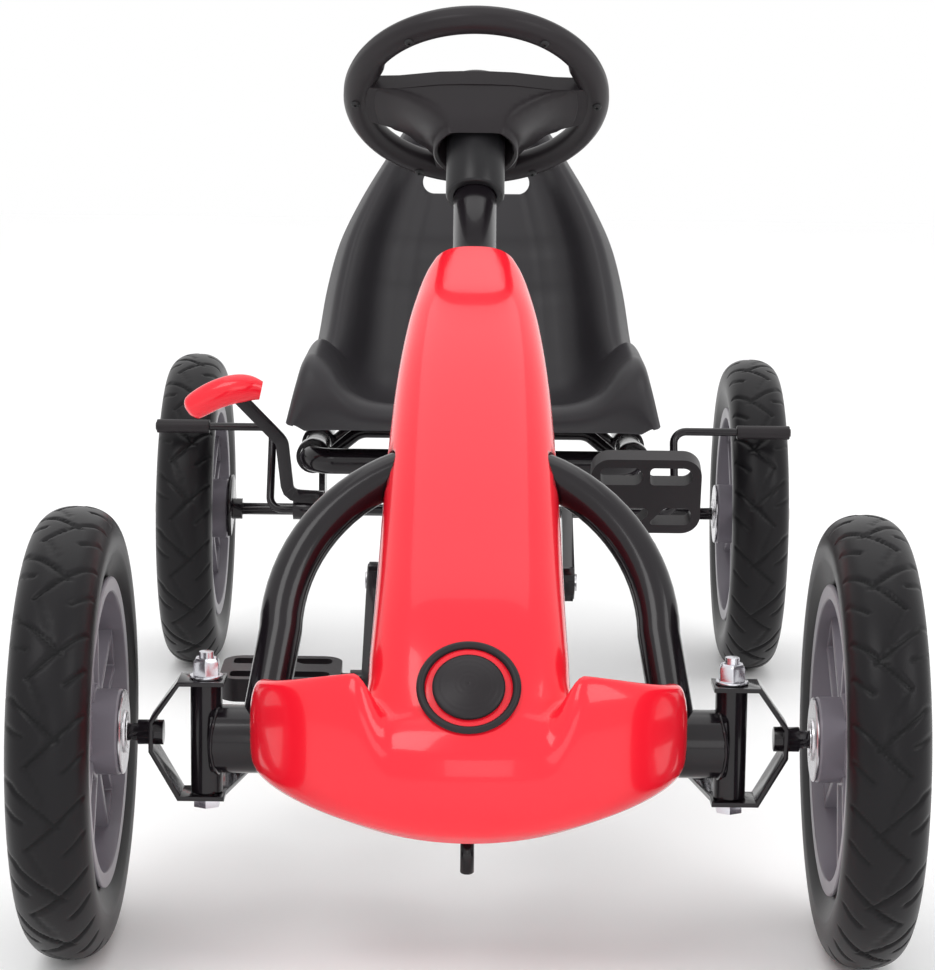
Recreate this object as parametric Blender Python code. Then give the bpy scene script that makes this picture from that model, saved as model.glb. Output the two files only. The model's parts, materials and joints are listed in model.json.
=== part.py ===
"""A child's four-wheel pedal kart. Metres, +Z up, the front faces -Y and the driver's left is +X."""

import math

import bmesh
import bpy
from mathutils import Matrix, Vector

# Overall layout
wheelbase = 0.900
front_track = 0.540
rear_track = 0.552
kingpin_spacing = 0.360

# Wheels
tyre_diameter = 0.310
tyre_width = 0.054
tyre_wall = 0.006
tread_flat = 0.014
rim_diameter = 0.202
rim_width = 0.0464
rim_wall = 0.0045
flange_height = 0.006
hub_diameter = 0.059
hub_width = 0.064
spoke_count = 5
spoke_width = 0.033
spoke_depth = 0.030
axle_diameter = 0.012
bearing_diameter = 0.028
bearing_length = 0.010
wheel_sides = 24

# Frame tubes
beam_diameter = 0.047
tube_wall = 0.002
main_tube_diameter = 0.038
hoop_diameter = 0.030
hoop_spacing = 0.263
hoop_foot_spacing = 0.2815
hoop_leg = 0.062
hoop_lean = math.radians(32)
hoop_height = 0.193
side_rail_diameter = 0.024
side_rail_spacing = 0.300
side_rail_height = 0.235
crossbar_place = 0.252
seat_arch_diameter = 0.012

# Steering
barrel_diameter = 0.022
barrel_height = 0.0765
kingpin_diameter = 0.010
strap_thickness = 0.003
strap_width = 0.030
strap_reach = 0.037
strap_flat = 0.020
tie_pin_inset = 0.015
tie_pin_trail = 0.065
tie_rod_diameter = 0.008
tie_pin_diameter = 0.007
tie_rod_drops = (0.0070, 0.0240)
column_slope = math.radians(50)
column_diameter = 0.034
column_foot = (-0.1285, 0.4650)
rod_diameter = 0.010
rod_end = -0.5100
lever_drop = -0.4490
lever_length = 0.044
sleeve_diameter = 0.0465
sleeve_start = 0.049
sleeve_end = 0.112
steering_wheel_diameter = 0.218
steering_rim_diameter = 0.023
steering_wheel_height = 0.1485

# Drive
crank_axis = (-0.100, 0.193)
crank_length = 0.119
crank_spread = 0.158
crank_arm_thickness = 0.009
crank_angle = math.radians(29)
spindle_diameter = 0.014
shell_diameter = 0.042
shell_width = 0.064
pedal_gap = 0.0205
pedal_width = 0.0925
pedal_corner = 0.016
pedal_length = 0.069
pedal_thickness = 0.018
pedal_spindle_diameter = 0.010
pedal_pitches = (math.radians(72), math.radians(-2.5))
chain_line = 0.043
chainring_teeth = 27
sprocket_teeth = 15
chain_pitch = 0.0127
chain_width = 0.0075
chain_height = 0.0085
sprocket_thickness = 0.003

# Seat
seat_bottom = 0.2650
seat_width = 0.342
seat_wall = 0.0045
seat_front = 0.200
seat_length = 0.341
seat_top = 0.552
arch_places = (0.288, 0.374)

# Brake
brake_axis = (0.270, 0.186)
brake_bar_diameter = 0.0075
brake_bar_spread = 0.380
brake_bar_reach = (0.310, 0.258)
brake_sleeve_diameter = 0.013
brake_sleeve_length = 0.050

# Fairing
fairing_wall = 0.003
badge_diameter = 0.070
badge_place = (-0.5312, 0.2078)
badge_slope = math.radians(48)

# Clearances
weld_gap = 0.0003
running_gap = 0.0004
tyre_gap = 0.0005

axle_height = tyre_diameter / 2
beam_height = axle_height - 0.004
bearing_seat = axle_diameter / 2 + 0.0082
front = -wheelbase / 2
rear = wheelbase / 2
column_axis = Vector((0, math.cos(column_slope), math.sin(column_slope)))


def material(name, colour, roughness, metallic=0.0):
    made = bpy.data.materials.new(name)
    made.use_nodes = True
    shader = made.node_tree.nodes["Principled BSDF"]
    shader.inputs["Base Color"].default_value = (*colour, 1.0)
    shader.inputs["Roughness"].default_value = roughness
    shader.inputs["Metallic"].default_value = metallic
    made.diffuse_color = (*colour, 1.0)
    return made


def empty(name, place, turn=(0, 0, 0)):
    made = bpy.data.objects.new(name, None)
    bpy.context.scene.collection.objects.link(made)
    made.location = place
    made.rotation_euler = turn
    return made


def piece(name, shape, finish, parent=None, place=(0, 0, 0), turn=(0, 0, 0)):
    """An object from (points, faces), with its faces turned outwards and its round faces smooth."""
    mesh = bpy.data.meshes.new(name)
    mesh.from_pydata([tuple(point) for point in shape[0]], [], shape[1])
    work = bmesh.new()
    work.from_mesh(mesh)
    bmesh.ops.recalc_face_normals(work, faces=work.faces)
    work.to_mesh(mesh)
    work.free()
    mesh.shade_smooth()
    mesh.set_sharp_from_angle(angle=math.radians(34))
    mesh.materials.append(finish)
    made = bpy.data.objects.new(name, mesh)
    bpy.context.scene.collection.objects.link(made)
    made.parent = parent
    made.location = place
    made.rotation_euler = turn
    return made


def combine(target, operation, *shapes):
    """Joins or cuts the target with helper shapes given in the target's own space."""
    for shape in shapes:
        label = f"{target.name}_{operation.lower()}_{len(target.modifiers)}"
        helper = piece(label, shape, target.data.materials[0], target)
        helper.hide_render = True
        helper.display_type = "WIRE"
        modifier = target.modifiers.new(operation.lower(), "BOOLEAN")
        modifier.operation = operation
        modifier.object = helper
    return target


def skin(sections, closed=False):
    """Quads between sections that have the same number of points, capped unless the row is closed."""
    count = len(sections[0])
    points = [point for section in sections for point in section]
    faces = []
    for i in range(len(sections) - (0 if closed else 1)):
        here, there = i * count, (i + 1) % len(sections) * count
        for j in range(count):
            k = (j + 1) % count
            faces.append((here + j, here + k, there + k, there + j))
    if not closed:
        faces.append(tuple(range(count)))
        faces.append(tuple(range(len(points) - count, len(points))))
    return points, faces


def together(*shapes):
    points, faces = [], []
    for more_points, more_faces in shapes:
        faces += [tuple(i + len(points) for i in face) for face in more_faces]
        points += list(more_points)
    return points, faces


def moved(shape, matrix):
    return [matrix @ Vector(point) for point in shape[0]], shape[1]


def shell(surface, wall):
    """A sheet of even thickness behind a grid of points."""
    columns = len(surface[0])
    behind = []
    for i, line in enumerate(surface):
        row = []
        for j, point in enumerate(line):
            along = surface[min(i + 1, len(surface) - 1)][j] - surface[max(i - 1, 0)][j]
            across = line[min(j + 1, columns - 1)] - line[max(j - 1, 0)]
            row.append(point - across.cross(along).normalized() * wall)
        behind.append(row)
    points = [point for line in surface for point in line] + [point for line in behind for point in line]
    count = len(surface) * columns
    faces = []
    for i in range(len(surface) - 1):
        for j in range(columns - 1):
            a = i * columns + j
            quad = (a, a + 1, a + columns + 1, a + columns)
            faces += [quad, tuple(k + count for k in quad[::-1])]
    edge = list(range(columns)) + [i * columns + columns - 1 for i in range(1, len(surface))]
    edge += [(len(surface) - 1) * columns + j for j in range(columns - 2, -1, -1)]
    edge += [i * columns for i in range(len(surface) - 2, 0, -1)]
    faces += [(a, b, b + count, a + count) for a, b in zip(edge, edge[1:] + edge[:1])]
    return points, faces


def mirrored(shape):
    return [(-x, y, z) for x, y, z in shape[0]], shape[1]


def turned(profile, sides=16, flat_down=False):
    """A ring turned about X from a closed outline of (x, radius), with a facet straight down if asked."""
    start = math.pi / sides if flat_down else 0
    angles = [start + 2 * math.pi * i / sides for i in range(sides)]
    rings = [[(x, r * math.sin(a), -r * math.cos(a)) for x, r in profile] for a in angles]
    return skin(rings, closed=True)


def stacked(profile, sides=12):
    """A solid turned about X from (x, radius) steps in order along X."""
    angles = [2 * math.pi * (i + 0.5) / sides for i in range(sides)]
    return skin([[(x, r * math.sin(a), -r * math.cos(a)) for a in angles] for x, r in profile])


def bar(radius, low, high, sides=12):
    """A round bar about X."""
    return stacked([(low, radius), (high, radius)], sides)


def shifted(shape, place):
    return moved(shape, Matrix.Translation(place))


def upright(shape):
    """Turns a shape made about X so that its X axis becomes +Z."""
    return moved(shape, Matrix.Rotation(-math.pi / 2, 4, "Y"))


def extruded(outline, low, high, axis="X"):
    """An outline in the plane across an axis, extruded from low to high along it."""
    place = {
        "X": lambda a, b, h: (h, a, b),
        "Y": lambda a, b, h: (a, h, b),
        "Z": lambda a, b, h: (a, b, h),
    }[axis]
    return skin([[place(a, b, h) for a, b in outline] for h in (low, high)])


def capsule(start, end, start_radius, end_radius, steps=5):
    """The outline round two circles."""
    (x0, y0), (x1, y1) = start, end
    heading = math.atan2(y1 - y0, x1 - x0)
    outline = []
    for (x, y), radius, turn in ((end, end_radius, -0.5), (start, start_radius, 0.5)):
        for i in range(steps):
            angle = heading + math.pi * (turn + i / (steps - 1))
            outline.append((x + radius * math.cos(angle), y + radius * math.sin(angle)))
    return outline


def rounded_box(half_width, half_length, radius, steps=3):
    """The outline of a box with rounded corners."""
    outline = []
    for i in range(4):
        across, along = ((1, 1), (-1, 1), (-1, -1), (1, -1))[i]
        for j in range(steps + 1):
            angle = math.pi / 2 * (i + j / steps)
            x = across * (half_width - radius) + radius * math.cos(angle)
            outline.append((x, along * (half_length - radius) + radius * math.sin(angle)))
    return outline


def ribbon(path, width, thickness):
    """A flat bar along a path, standing across Y."""
    path = [Vector(point) for point in path]
    sections = []
    for i, point in enumerate(path):
        along = (path[min(i + 1, len(path) - 1)] - path[max(i - 1, 0)]).normalized()
        across = Vector((along.z, 0, -along.x)).normalized() * width / 2
        ahead = Vector((0, thickness / 2, 0))
        corners = (across + ahead, ahead - across, -across - ahead, across - ahead)
        sections.append([point + corner for corner in corners])
    return skin(sections)


def rounded(points, radius, steps=5):
    """A path through the points with its inner corners rounded to a radius."""
    points = [Vector(point) for point in points]
    path = [points[0]]
    for before, corner, after in zip(points, points[1:], points[2:]):
        a = (before - corner).normalized()
        b = (after - corner).normalized()
        half = a.angle(b) / 2
        if math.pi / 2 - half < 0.01:
            path.append(corner)
            continue
        reach = min(radius / math.tan(half), 0.49 * min((before - corner).length, (after - corner).length))
        fitted = reach * math.tan(half)
        centre = corner + (a + b).normalized() * fitted / math.sin(half)
        start, end = corner + a * reach - centre, corner + b * reach - centre
        sweep = start.angle(end)
        for i in range(steps + 1):
            t = i / steps
            blend = (start * math.sin((1 - t) * sweep) + end * math.sin(t * sweep)) / math.sin(sweep)
            path.append(centre + blend)
    path.append(points[-1])
    return path


def pipe(path, diameter, wall=None, sides=16):
    """A round bar along a path, or a tube with open ends where a wall is given."""
    path = [Vector(point) for point in path]
    tangents = []
    for i in range(len(path)):
        before = (path[i] - path[i - 1]).normalized() if i else None
        after = (path[i + 1] - path[i]).normalized() if i + 1 < len(path) else None
        tangents.append(((before or after) + (after or before)).normalized())
    side = tangents[0].orthogonal().normalized()
    if abs(tangents[0].x) < 0.99:
        side = (Vector((1, 0, 0)) - tangents[0] * tangents[0].x).normalized()

    rings = []
    for point, tangent in zip(path, tangents):
        side = (side - tangent * side.dot(tangent)).normalized()
        rings.append((point, side.copy(), tangent.cross(side)))

    def ring(place, radius):
        point, across, up = place
        angles = [2 * math.pi * (i + 0.5) / sides for i in range(sides)]
        return [point + (across * math.cos(a) + up * math.sin(a)) * radius for a in angles]

    outer = [ring(place, diameter / 2) for place in rings]
    if wall is None:
        return skin(outer)
    inner = [ring(place, diameter / 2 - wall) for place in rings]
    return skin(outer + inner[::-1], closed=True)


def on_column(distance, lift=0.0):
    """The point at a distance up the steering axis from the column's top, and a lift ahead of it."""
    start = Vector((0, *column_foot))
    return start + column_axis * distance + Vector((0, -column_axis.z, column_axis.y)) * lift


def along_column(shape):
    """Places a shape made about X, from the column's top at x = 0, on the steering axis."""
    turn = Vector((1, 0, 0)).rotation_difference(column_axis).to_matrix().to_4x4()
    return moved(shape, Matrix.Translation(on_column(0)) @ turn)


def column_disc(profile, middle, most, sides=20):
    """A solid round a line beside the steering axis from (distance, radius) steps, cut flat above a lift."""
    angles = [2 * math.pi * i / sides for i in range(sides)]
    rings = []
    for distance, radius in profile:
        ring = [(radius * math.cos(a), middle + min(radius * math.sin(a), most)) for a in angles]
        rings.append([on_column(distance, lift) + Vector((x, 0, 0)) for x, lift in ring])
    return skin(rings)


def main_tube_height(y):
    start, end = (front, axle_height), crank_axis
    return start[1] + (y - start[0]) * (end[1] - start[1]) / (end[0] - start[0])


def pitch_radius(teeth):
    return chain_pitch / (2 * math.sin(math.pi / teeth))


def make_tyre(name, parent):
    tread = tyre_diameter / 2 / math.cos(math.pi / wheel_sides)
    bead = rim_diameter / 2 + tyre_gap
    seat = rim_width / 2 - 0.0037
    lip = bead + flange_height + 0.001
    middle = (tread + lip) / 2
    outer = [(tread_flat / 2, tread)]
    for degrees in (45, 90):
        angle = math.radians(degrees)
        outer.append((tyre_width / 2 * math.sin(angle) ** 0.62, middle + (tread - middle) * math.cos(angle)))
    outer += [(seat, lip), (seat, bead), (seat - tyre_wall, bead)]
    inner = [(tyre_width / 2 - tyre_wall, middle), (tread_flat / 2, tread - 1.1 * tyre_wall)]
    half = outer + inner
    profile = half + [(-x, r) for x, r in half[::-1]]
    return piece(name, turned(profile, wheel_sides, flat_down=True), rubber, parent)


def make_rim(name, parent):
    half = rim_width / 2
    well = rim_diameter / 2
    inside = well - rim_wall
    lip = half - 0.0032
    top = well + flange_height
    left = [(-half, inside), (-half, top), (-lip, top), (-lip, well)]
    profile = left + [(-x, r) for x, r in left[::-1]]
    rim = piece(name, turned(profile, wheel_sides, flat_down=True), grey_plastic, parent)
    hub = turned(
        [
            (-hub_width / 2, bearing_diameter / 2),
            (-hub_width / 2, hub_diameter / 2),
            (hub_width / 2, hub_diameter / 2),
            (hub_width / 2, bearing_diameter / 2),
        ],
        16,
    )
    spokes = []
    for i in range(spoke_count):
        turn = Matrix.Rotation(2 * math.pi * i / spoke_count, 4, "X")
        root = hub_diameter / 2 - 0.003
        tip = inside + 0.002
        spoke = skin(
            [
                [
                    (x, y, r)
                    for x, y in (
                        (-spoke_depth / 2, -width / 2),
                        (spoke_depth / 2, -width / 2),
                        (spoke_depth / 2, width / 2),
                        (-spoke_depth / 2, width / 2),
                    )
                ]
                for r, width in ((root, 0.8 * spoke_width), (tip, spoke_width))
            ]
        )
        spokes.append(moved(spoke, turn))
    return combine(rim, "UNION", hub, together(*spokes))


def make_bearing(name, parent, side):
    """A flanged bearing pressed in the end of a hub, side being +1 or -1 along the axle."""
    bore = axle_diameter / 2 + running_gap
    outside = bearing_diameter / 2 - weld_gap
    face = hub_width / 2 + weld_gap
    profile = [
        (face - bearing_length, bore),
        (face - bearing_length, outside),
        (face, outside),
        (face, outside + 0.0045),
        (face + 0.0020, outside + 0.0045),
        (face + 0.0020, bore),
    ]
    return piece(name, turned([(side * x, r) for x, r in profile], 12), steel, parent)


def make_axle_cap(name, parent, side, reach):
    """A domed push-on cap over the axle's end."""
    inner = axle_diameter / 2 + weld_gap
    profile = [(reach, inner), (reach, 0.0105), (reach + 0.004, 0.0105), (reach + 0.0075, 0.0070)]
    profile += [(reach + 0.0080, 0.0030)]
    return piece(name, turned([(side * x, r) for x, r in profile], 12), pale_plastic, parent)


def make_wheel(prefix, place, side, driven=False):
    wheel = empty(f"{prefix}_wheel", place)
    make_tyre(f"{prefix}_tyre", wheel)
    make_rim(f"{prefix}_rim", wheel)
    if not driven:
        make_bearing(f"{prefix}_inner_bearing", wheel, -side)
        make_bearing(f"{prefix}_outer_bearing", wheel, side)
    return wheel


def cross_beam(half, diameter):
    """The front axle beam's round shape, at a half length and a diameter."""
    return pipe([(-half, front, beam_height), (half, front, beam_height)], diameter, sides=20)


def make_front_axle():
    half = kingpin_spacing / 2
    low, high = axle_height - barrel_height / 2 - 0.003, axle_height + barrel_height / 2 - 0.003
    beam = piece("front_axle", cross_beam(half, beam_diameter), black_paint)
    bore_radius = kingpin_diameter / 2 + running_gap
    barrels, bores, trims = [], [], []
    for side in (-1, 1):
        place = (side * half, front, 0)
        barrels.append(shifted(upright(bar(barrel_diameter / 2, low, high)), place))
        bores.append(shifted(upright(bar(bore_radius, low - 0.01, high + 0.01)), place))
        trim = bar(beam_diameter, side * (half + 0.001), side * (half + 0.04))
        trims.append(shifted(trim, (0, front, beam_height)))
    combine(beam, "DIFFERENCE", together(*trims), cross_beam(half + 0.1, beam_diameter - 2 * tube_wall))
    combine(beam, "UNION", together(*barrels))
    combine(beam, "DIFFERENCE", together(*bores))
    return low, high


def make_knuckle(side, low, high):
    """A bent strap round the kingpin barrel that carries the stub axle and the steering arm."""
    word = "left" if side > 0 else "right"
    pivot = empty(f"front_{word}_knuckle_pivot", (side * kingpin_spacing / 2, front, 0))
    bottom, top = low - 0.0004, high + 0.0004
    reach = strap_reach
    half_flat = strap_flat / 2
    middle = axle_height
    centreline = [
        (-0.013, top + strap_thickness / 2),
        (0.018, top + strap_thickness / 2),
        (reach, middle + half_flat),
        (reach, middle - half_flat),
        (0.018, bottom - strap_thickness / 2),
        (-0.013, bottom - strap_thickness / 2),
    ]
    path = [Vector((x, 0, z)) for x, z in centreline]
    outer, inner = [], []
    for i, point in enumerate(path):
        before = (point - path[i - 1]).normalized() if i else (path[1] - path[0]).normalized()
        after = (path[i + 1] - point).normalized() if i + 1 < len(path) else before
        bend = (before + after).normalized()
        normal = Vector((-bend.z, 0, bend.x)) / max(0.5, bend.dot(after))
        outer.append(point + normal * strap_thickness / 2)
        inner.append(point - normal * strap_thickness / 2)
    outline = [(side * p.x, p.z) for p in outer + inner[::-1]]
    shape = extruded(outline, -strap_width / 2, strap_width / 2, "Y")
    strap = piece(f"front_{word}_knuckle", shape, black_paint, pivot)

    stub_end = front_track / 2 - kingpin_spacing / 2 + hub_width / 2 + 0.002
    stub = [(reach - 0.0075, 0.0085), (reach + 0.010, 0.0085)]
    stub += [(reach + 0.010, axle_diameter / 2), (stub_end, axle_diameter / 2)]
    axle = shifted(stacked([(side * x, r) for x, r in stub]), (0, 0, middle))
    arm_end = (-side * tie_pin_inset, tie_pin_trail)
    arm = extruded(capsule((0, 0), arm_end, 0.0125, 0.0095), bottom - strap_thickness, bottom - 0.0001, "Z")
    pin_top = bottom + 0.018
    pin = shifted(upright(bar(tie_pin_diameter / 2, bottom - 0.001, pin_top)), (*arm_end, 0))
    holes = upright(bar(kingpin_diameter / 2 + weld_gap, low - 0.03, high + 0.03))
    combine(strap, "UNION", axle, arm, pin)
    combine(strap, "DIFFERENCE", holes)

    bolt_bottom = bottom - strap_thickness - weld_gap
    bolt_top = top + strap_thickness + 0.0185
    head = [(bolt_bottom - 0.0065, 0.0098), (bolt_bottom, 0.0098)]
    shank = [(bolt_bottom - 0.003, kingpin_diameter / 2), (bolt_top, kingpin_diameter / 2)]
    bolt = piece(f"{word}_kingpin_bolt", upright(stacked(head, 6)), zinc, pivot)
    combine(bolt, "UNION", upright(stacked(shank)))
    nut_bottom = top + strap_thickness + weld_gap
    washer = [(nut_bottom, 0.0115), (nut_bottom + 0.0020, 0.0115)]
    hexagon = [(nut_bottom + 0.0010, 0.0098), (nut_bottom + 0.0110, 0.0098), (nut_bottom + 0.0140, 0.0080)]
    bore = bar(kingpin_diameter / 2 + weld_gap, nut_bottom - 0.01, nut_bottom + 0.03)
    nut = piece(f"{word}_kingpin_nut", upright(stacked(washer, 16)), zinc, pivot)
    combine(nut, "UNION", upright(stacked(hexagon, 6)))
    combine(nut, "DIFFERENCE", upright(bore))

    hub_centre = (side * front_track / 2, front, axle_height)
    make_wheel(f"front_{word}", hub_centre, side)
    cap_place = front_track / 2 - kingpin_spacing / 2 + hub_width / 2 + 0.0028
    cap = make_axle_cap(f"front_{word}_axle_cap", pivot, side, cap_place)
    cap.location.z = axle_height
    return bottom


def make_tie_rod(side, arm_top):
    """A rod from the knuckle's pin to an open eye round the steering lever's pin."""
    word = "left" if side > 0 else "right"
    outer = Vector((side * (kingpin_spacing / 2 - tie_pin_inset), front + tie_pin_trail, arm_top + 0.009))
    drop = tie_rod_drops[0] if side > 0 else tie_rod_drops[1]
    inner = on_column(lever_drop, -lever_length) - column_axis * drop
    pivot = empty(f"{word}_tie_rod_pivot", outer)
    start = outer + (inner - outer).normalized() * 0.006
    stop = inner + (outer - inner).normalized() * 0.0125
    rod = piece(
        f"{word}_tie_rod",
        pipe([start - outer, stop - outer], tie_rod_diameter, sides=12),
        zinc,
        pivot,
    )
    joint = upright(bar(0.0085, -0.0055, 0.0055, 16))
    bore = upright(bar(tie_pin_diameter / 2 + running_gap, -0.02, 0.02))
    turn = Vector((1, 0, 0)).rotation_difference(column_axis).to_matrix().to_4x4()
    eye = turned([(-0.0015, 0.0115), (-0.0015, 0.0155), (0.0015, 0.0155), (0.0015, 0.0115)], 20)
    eye = moved(eye, Matrix.Translation(inner - outer) @ turn)
    combine(rod, "UNION", joint, eye)
    combine(rod, "DIFFERENCE", bore)


def hoop_path():
    """The hoop's centreline: two short legs and a half ellipse in a plane that leans back."""
    half = hoop_spacing / 2
    flat = [(hoop_foot_spacing / 2, -0.012)]
    for i in range(13):
        angle = math.pi * i / 12
        flat.append((half * math.cos(angle), hoop_leg + (hoop_height - hoop_leg) * math.sin(angle)))
    flat.append((-hoop_foot_spacing / 2, -0.012))
    base = axle_height + 0.0125
    return [(x, front + h * math.sin(hoop_lean), base + h * math.cos(hoop_lean)) for x, h in flat]


def make_hoop():
    hoop = piece("hoop", pipe(hoop_path(), hoop_diameter, tube_wall, sides=10), black_paint)
    return combine(hoop, "DIFFERENCE", cross_beam(0.3, beam_diameter + 2 * weld_gap))


def main_tube_bar(start, end, diameter):
    """A bar along the main tube's line between two places along Y."""
    return pipe([(0, y, main_tube_height(y)) for y in (start, end)], diameter, sides=16)


def make_main_tube():
    start = front + beam_diameter / 2 - 0.006
    end = crossbar_place - side_rail_diameter / 2 - 0.001
    tube = piece("main_tube", main_tube_bar(start, end, main_tube_diameter), black_paint)
    inside = main_tube_bar(start - 0.05, end + 0.05, main_tube_diameter - 2 * tube_wall)
    shell_bar = bar(shell_diameter / 2, -shell_width / 2, shell_width / 2, 20)
    bore = bar(spindle_diameter / 2 + running_gap, -shell_width, shell_width, 16)
    crossbar = [(-0.2, crossbar_place, side_rail_height), (0.2, crossbar_place, side_rail_height)]
    combine(tube, "DIFFERENCE", inside)
    combine(tube, "UNION", shifted(shell_bar, (0, *crank_axis)))
    combine(
        tube,
        "DIFFERENCE",
        shifted(bore, (0, *crank_axis)),
        cross_beam(0.2, beam_diameter + 2 * weld_gap),
        pipe(crossbar, side_rail_diameter + 2 * weld_gap, sides=10),
        along_column(bar(rod_diameter / 2 + 0.0015, lever_drop + 0.008, -0.2, 16)),
    )


def make_column():
    """The fixed tube that holds the steering rod, with the stay that ties it to the hoop."""
    foot = -0.372
    profile = [
        (foot, column_diameter / 2 - tube_wall),
        (foot, column_diameter / 2),
        (0.075, column_diameter / 2),
        (0.075, column_diameter / 2 - tube_wall),
    ]
    tube = piece("column_tube", along_column(turned(profile, 20)), black_paint)
    apex = max(hoop_path(), key=lambda point: point[2])
    stay_end = Vector(apex) + Vector((0, 0.010, -0.010))
    near = -0.150
    outline = [
        (stay_end.y, stay_end.z),
        tuple(on_column(near + 0.030))[1:],
        tuple(on_column(near - 0.045))[1:],
        (stay_end.y - 0.004, stay_end.z - 0.014),
    ]
    stay = extruded(outline, -0.002, 0.002, "X")
    inside = along_column(bar(column_diameter / 2 - tube_wall, foot - 0.02, 0.1, 20))
    tube_cut = main_tube_bar(front - 0.05, crank_axis[0] + 0.1, main_tube_diameter + 2 * weld_gap)
    hoop_cut = pipe(hoop_path(), hoop_diameter + 2 * weld_gap, sides=10)
    combine(tube, "UNION", stay)
    combine(tube, "DIFFERENCE", inside, tube_cut, hoop_cut)
    bush = [(0.052, rod_diameter / 2 + running_gap), (0.052, column_diameter / 2 - tube_wall - weld_gap)]
    bush += [(0.074, column_diameter / 2 - tube_wall - weld_gap), (0.074, rod_diameter / 2 + running_gap)]
    piece("column_bush", along_column(turned(bush, 20)), pale_plastic)


def make_steering():
    rod_top = steering_wheel_height + 0.004
    hook = [on_column(rod_top), on_column(-0.3), on_column(rod_end), on_column(rod_end - 0.010, -0.012)]
    rod = piece("steering_rod", pipe(rounded(hook, 0.012, 4), rod_diameter, sides=12), black_paint)
    outline = capsule((0, 0), (0, -lever_length), 0.011, 0.008)
    turn = Vector((0, 0, 1)).rotation_difference(column_axis).to_matrix().to_4x4()
    ahead = turn @ Matrix.Rotation(math.pi, 4, "Z")
    lever = moved(extruded(outline, -0.0020, 0.0020, "Z"), Matrix.Translation(on_column(lever_drop)) @ ahead)
    pin = moved(upright(bar(0.003, -tie_rod_drops[1] - 0.008, 0.001)), turn)
    pin = shifted(pin, on_column(lever_drop, -lever_length))
    combine(rod, "UNION", lever, pin)

    sleeve_bore = column_diameter / 2 + running_gap
    rod_bore = rod_diameter / 2 + weld_gap
    profile = [
        (sleeve_start, sleeve_bore),
        (sleeve_start, sleeve_diameter / 2 - 0.001),
        (sleeve_start + 0.002, sleeve_diameter / 2),
        (sleeve_end, sleeve_diameter / 2),
        (sleeve_end, rod_bore),
        (0.080, rod_bore),
        (0.080, sleeve_bore),
    ]
    piece("steering_sleeve", along_column(turned(profile, 20)), black_plastic)

    ring_radius = (steering_wheel_diameter - steering_rim_diameter) / 2
    section_radius = steering_rim_diameter / 2 / math.cos(math.pi / 14)
    ring = []
    for i in range(24):
        angle = 2 * math.pi * i / 24
        section = []
        for j in range(7):
            turn_angle = 2 * math.pi * (j + 0.5) / 7
            radius = ring_radius + section_radius * math.cos(turn_angle)
            height = steering_wheel_height + section_radius * math.sin(turn_angle)
            section.append((height, radius * math.sin(angle), radius * math.cos(angle)))
        ring.append(section)
    wheel = piece("steering_wheel", along_column(skin(ring, closed=True)), black_plastic)
    half_outline = [(0, 0.020), (0.050, 0.016), (0.080, 0.026), (0.0955, 0.020), (0.0955, -0.012)]
    half_outline += [(0.074, -0.022), (0.050, -0.038), (0.030, -0.0955), (0, -0.0955)]
    outline = half_outline + [(-x, q) for x, q in half_outline[-2:0:-1]]
    levels = (steering_wheel_height - 0.0075, steering_wheel_height + 0.0055)
    plate = skin([[on_column(level, q) + Vector((x, 0, 0)) for x, q in outline] for level in levels])
    bell = [(sleeve_end + weld_gap, 0.0255), (0.122, 0.031), (0.132, 0.038), (0.1440, 0.044)]
    centre_bore = bar(rod_bore, 0.09, steering_wheel_height + 0.02, 16)
    combine(wheel, "UNION", plate, column_disc(bell, 0, 0.014))
    combine(wheel, "DIFFERENCE", along_column(centre_bore))
    pad = [(steering_wheel_height + 0.0058, 0.034), (0.165, 0.034), (0.172, 0.027), (0.174, 0.016)]
    piece("steering_pad", column_disc(pad, -0.021, 0.034), black_plastic)


def make_rear_frame():
    half = side_rail_spacing / 2
    end = rear + 0.045
    path = rounded(
        [
            (half, end, side_rail_height),
            (half, crossbar_place, side_rail_height),
            (-half, crossbar_place, side_rail_height),
            (-half, end, side_rail_height),
        ],
        0.022,
        4,
    )
    frame = piece("rear_frame", pipe(path, side_rail_diameter, tube_wall, sides=10), black_paint)
    brackets = []
    for side in (-1, 1):
        outline = [
            (rear - 0.020, side_rail_height - 0.0115),
            (rear + 0.020, side_rail_height - 0.0115),
            (rear + 0.024, axle_height),
            (rear + 0.014, axle_height - 0.021),
            (rear - 0.014, axle_height - 0.021),
            (rear - 0.024, axle_height),
        ]
        brackets.append(extruded(outline, side * half - 0.003, side * half + 0.003, "X"))
    holes = shifted(bar(bearing_seat, -0.2, 0.2, 20), (0, rear, axle_height))
    combine(frame, "UNION", together(*brackets))
    combine(frame, "DIFFERENCE", holes)


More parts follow.
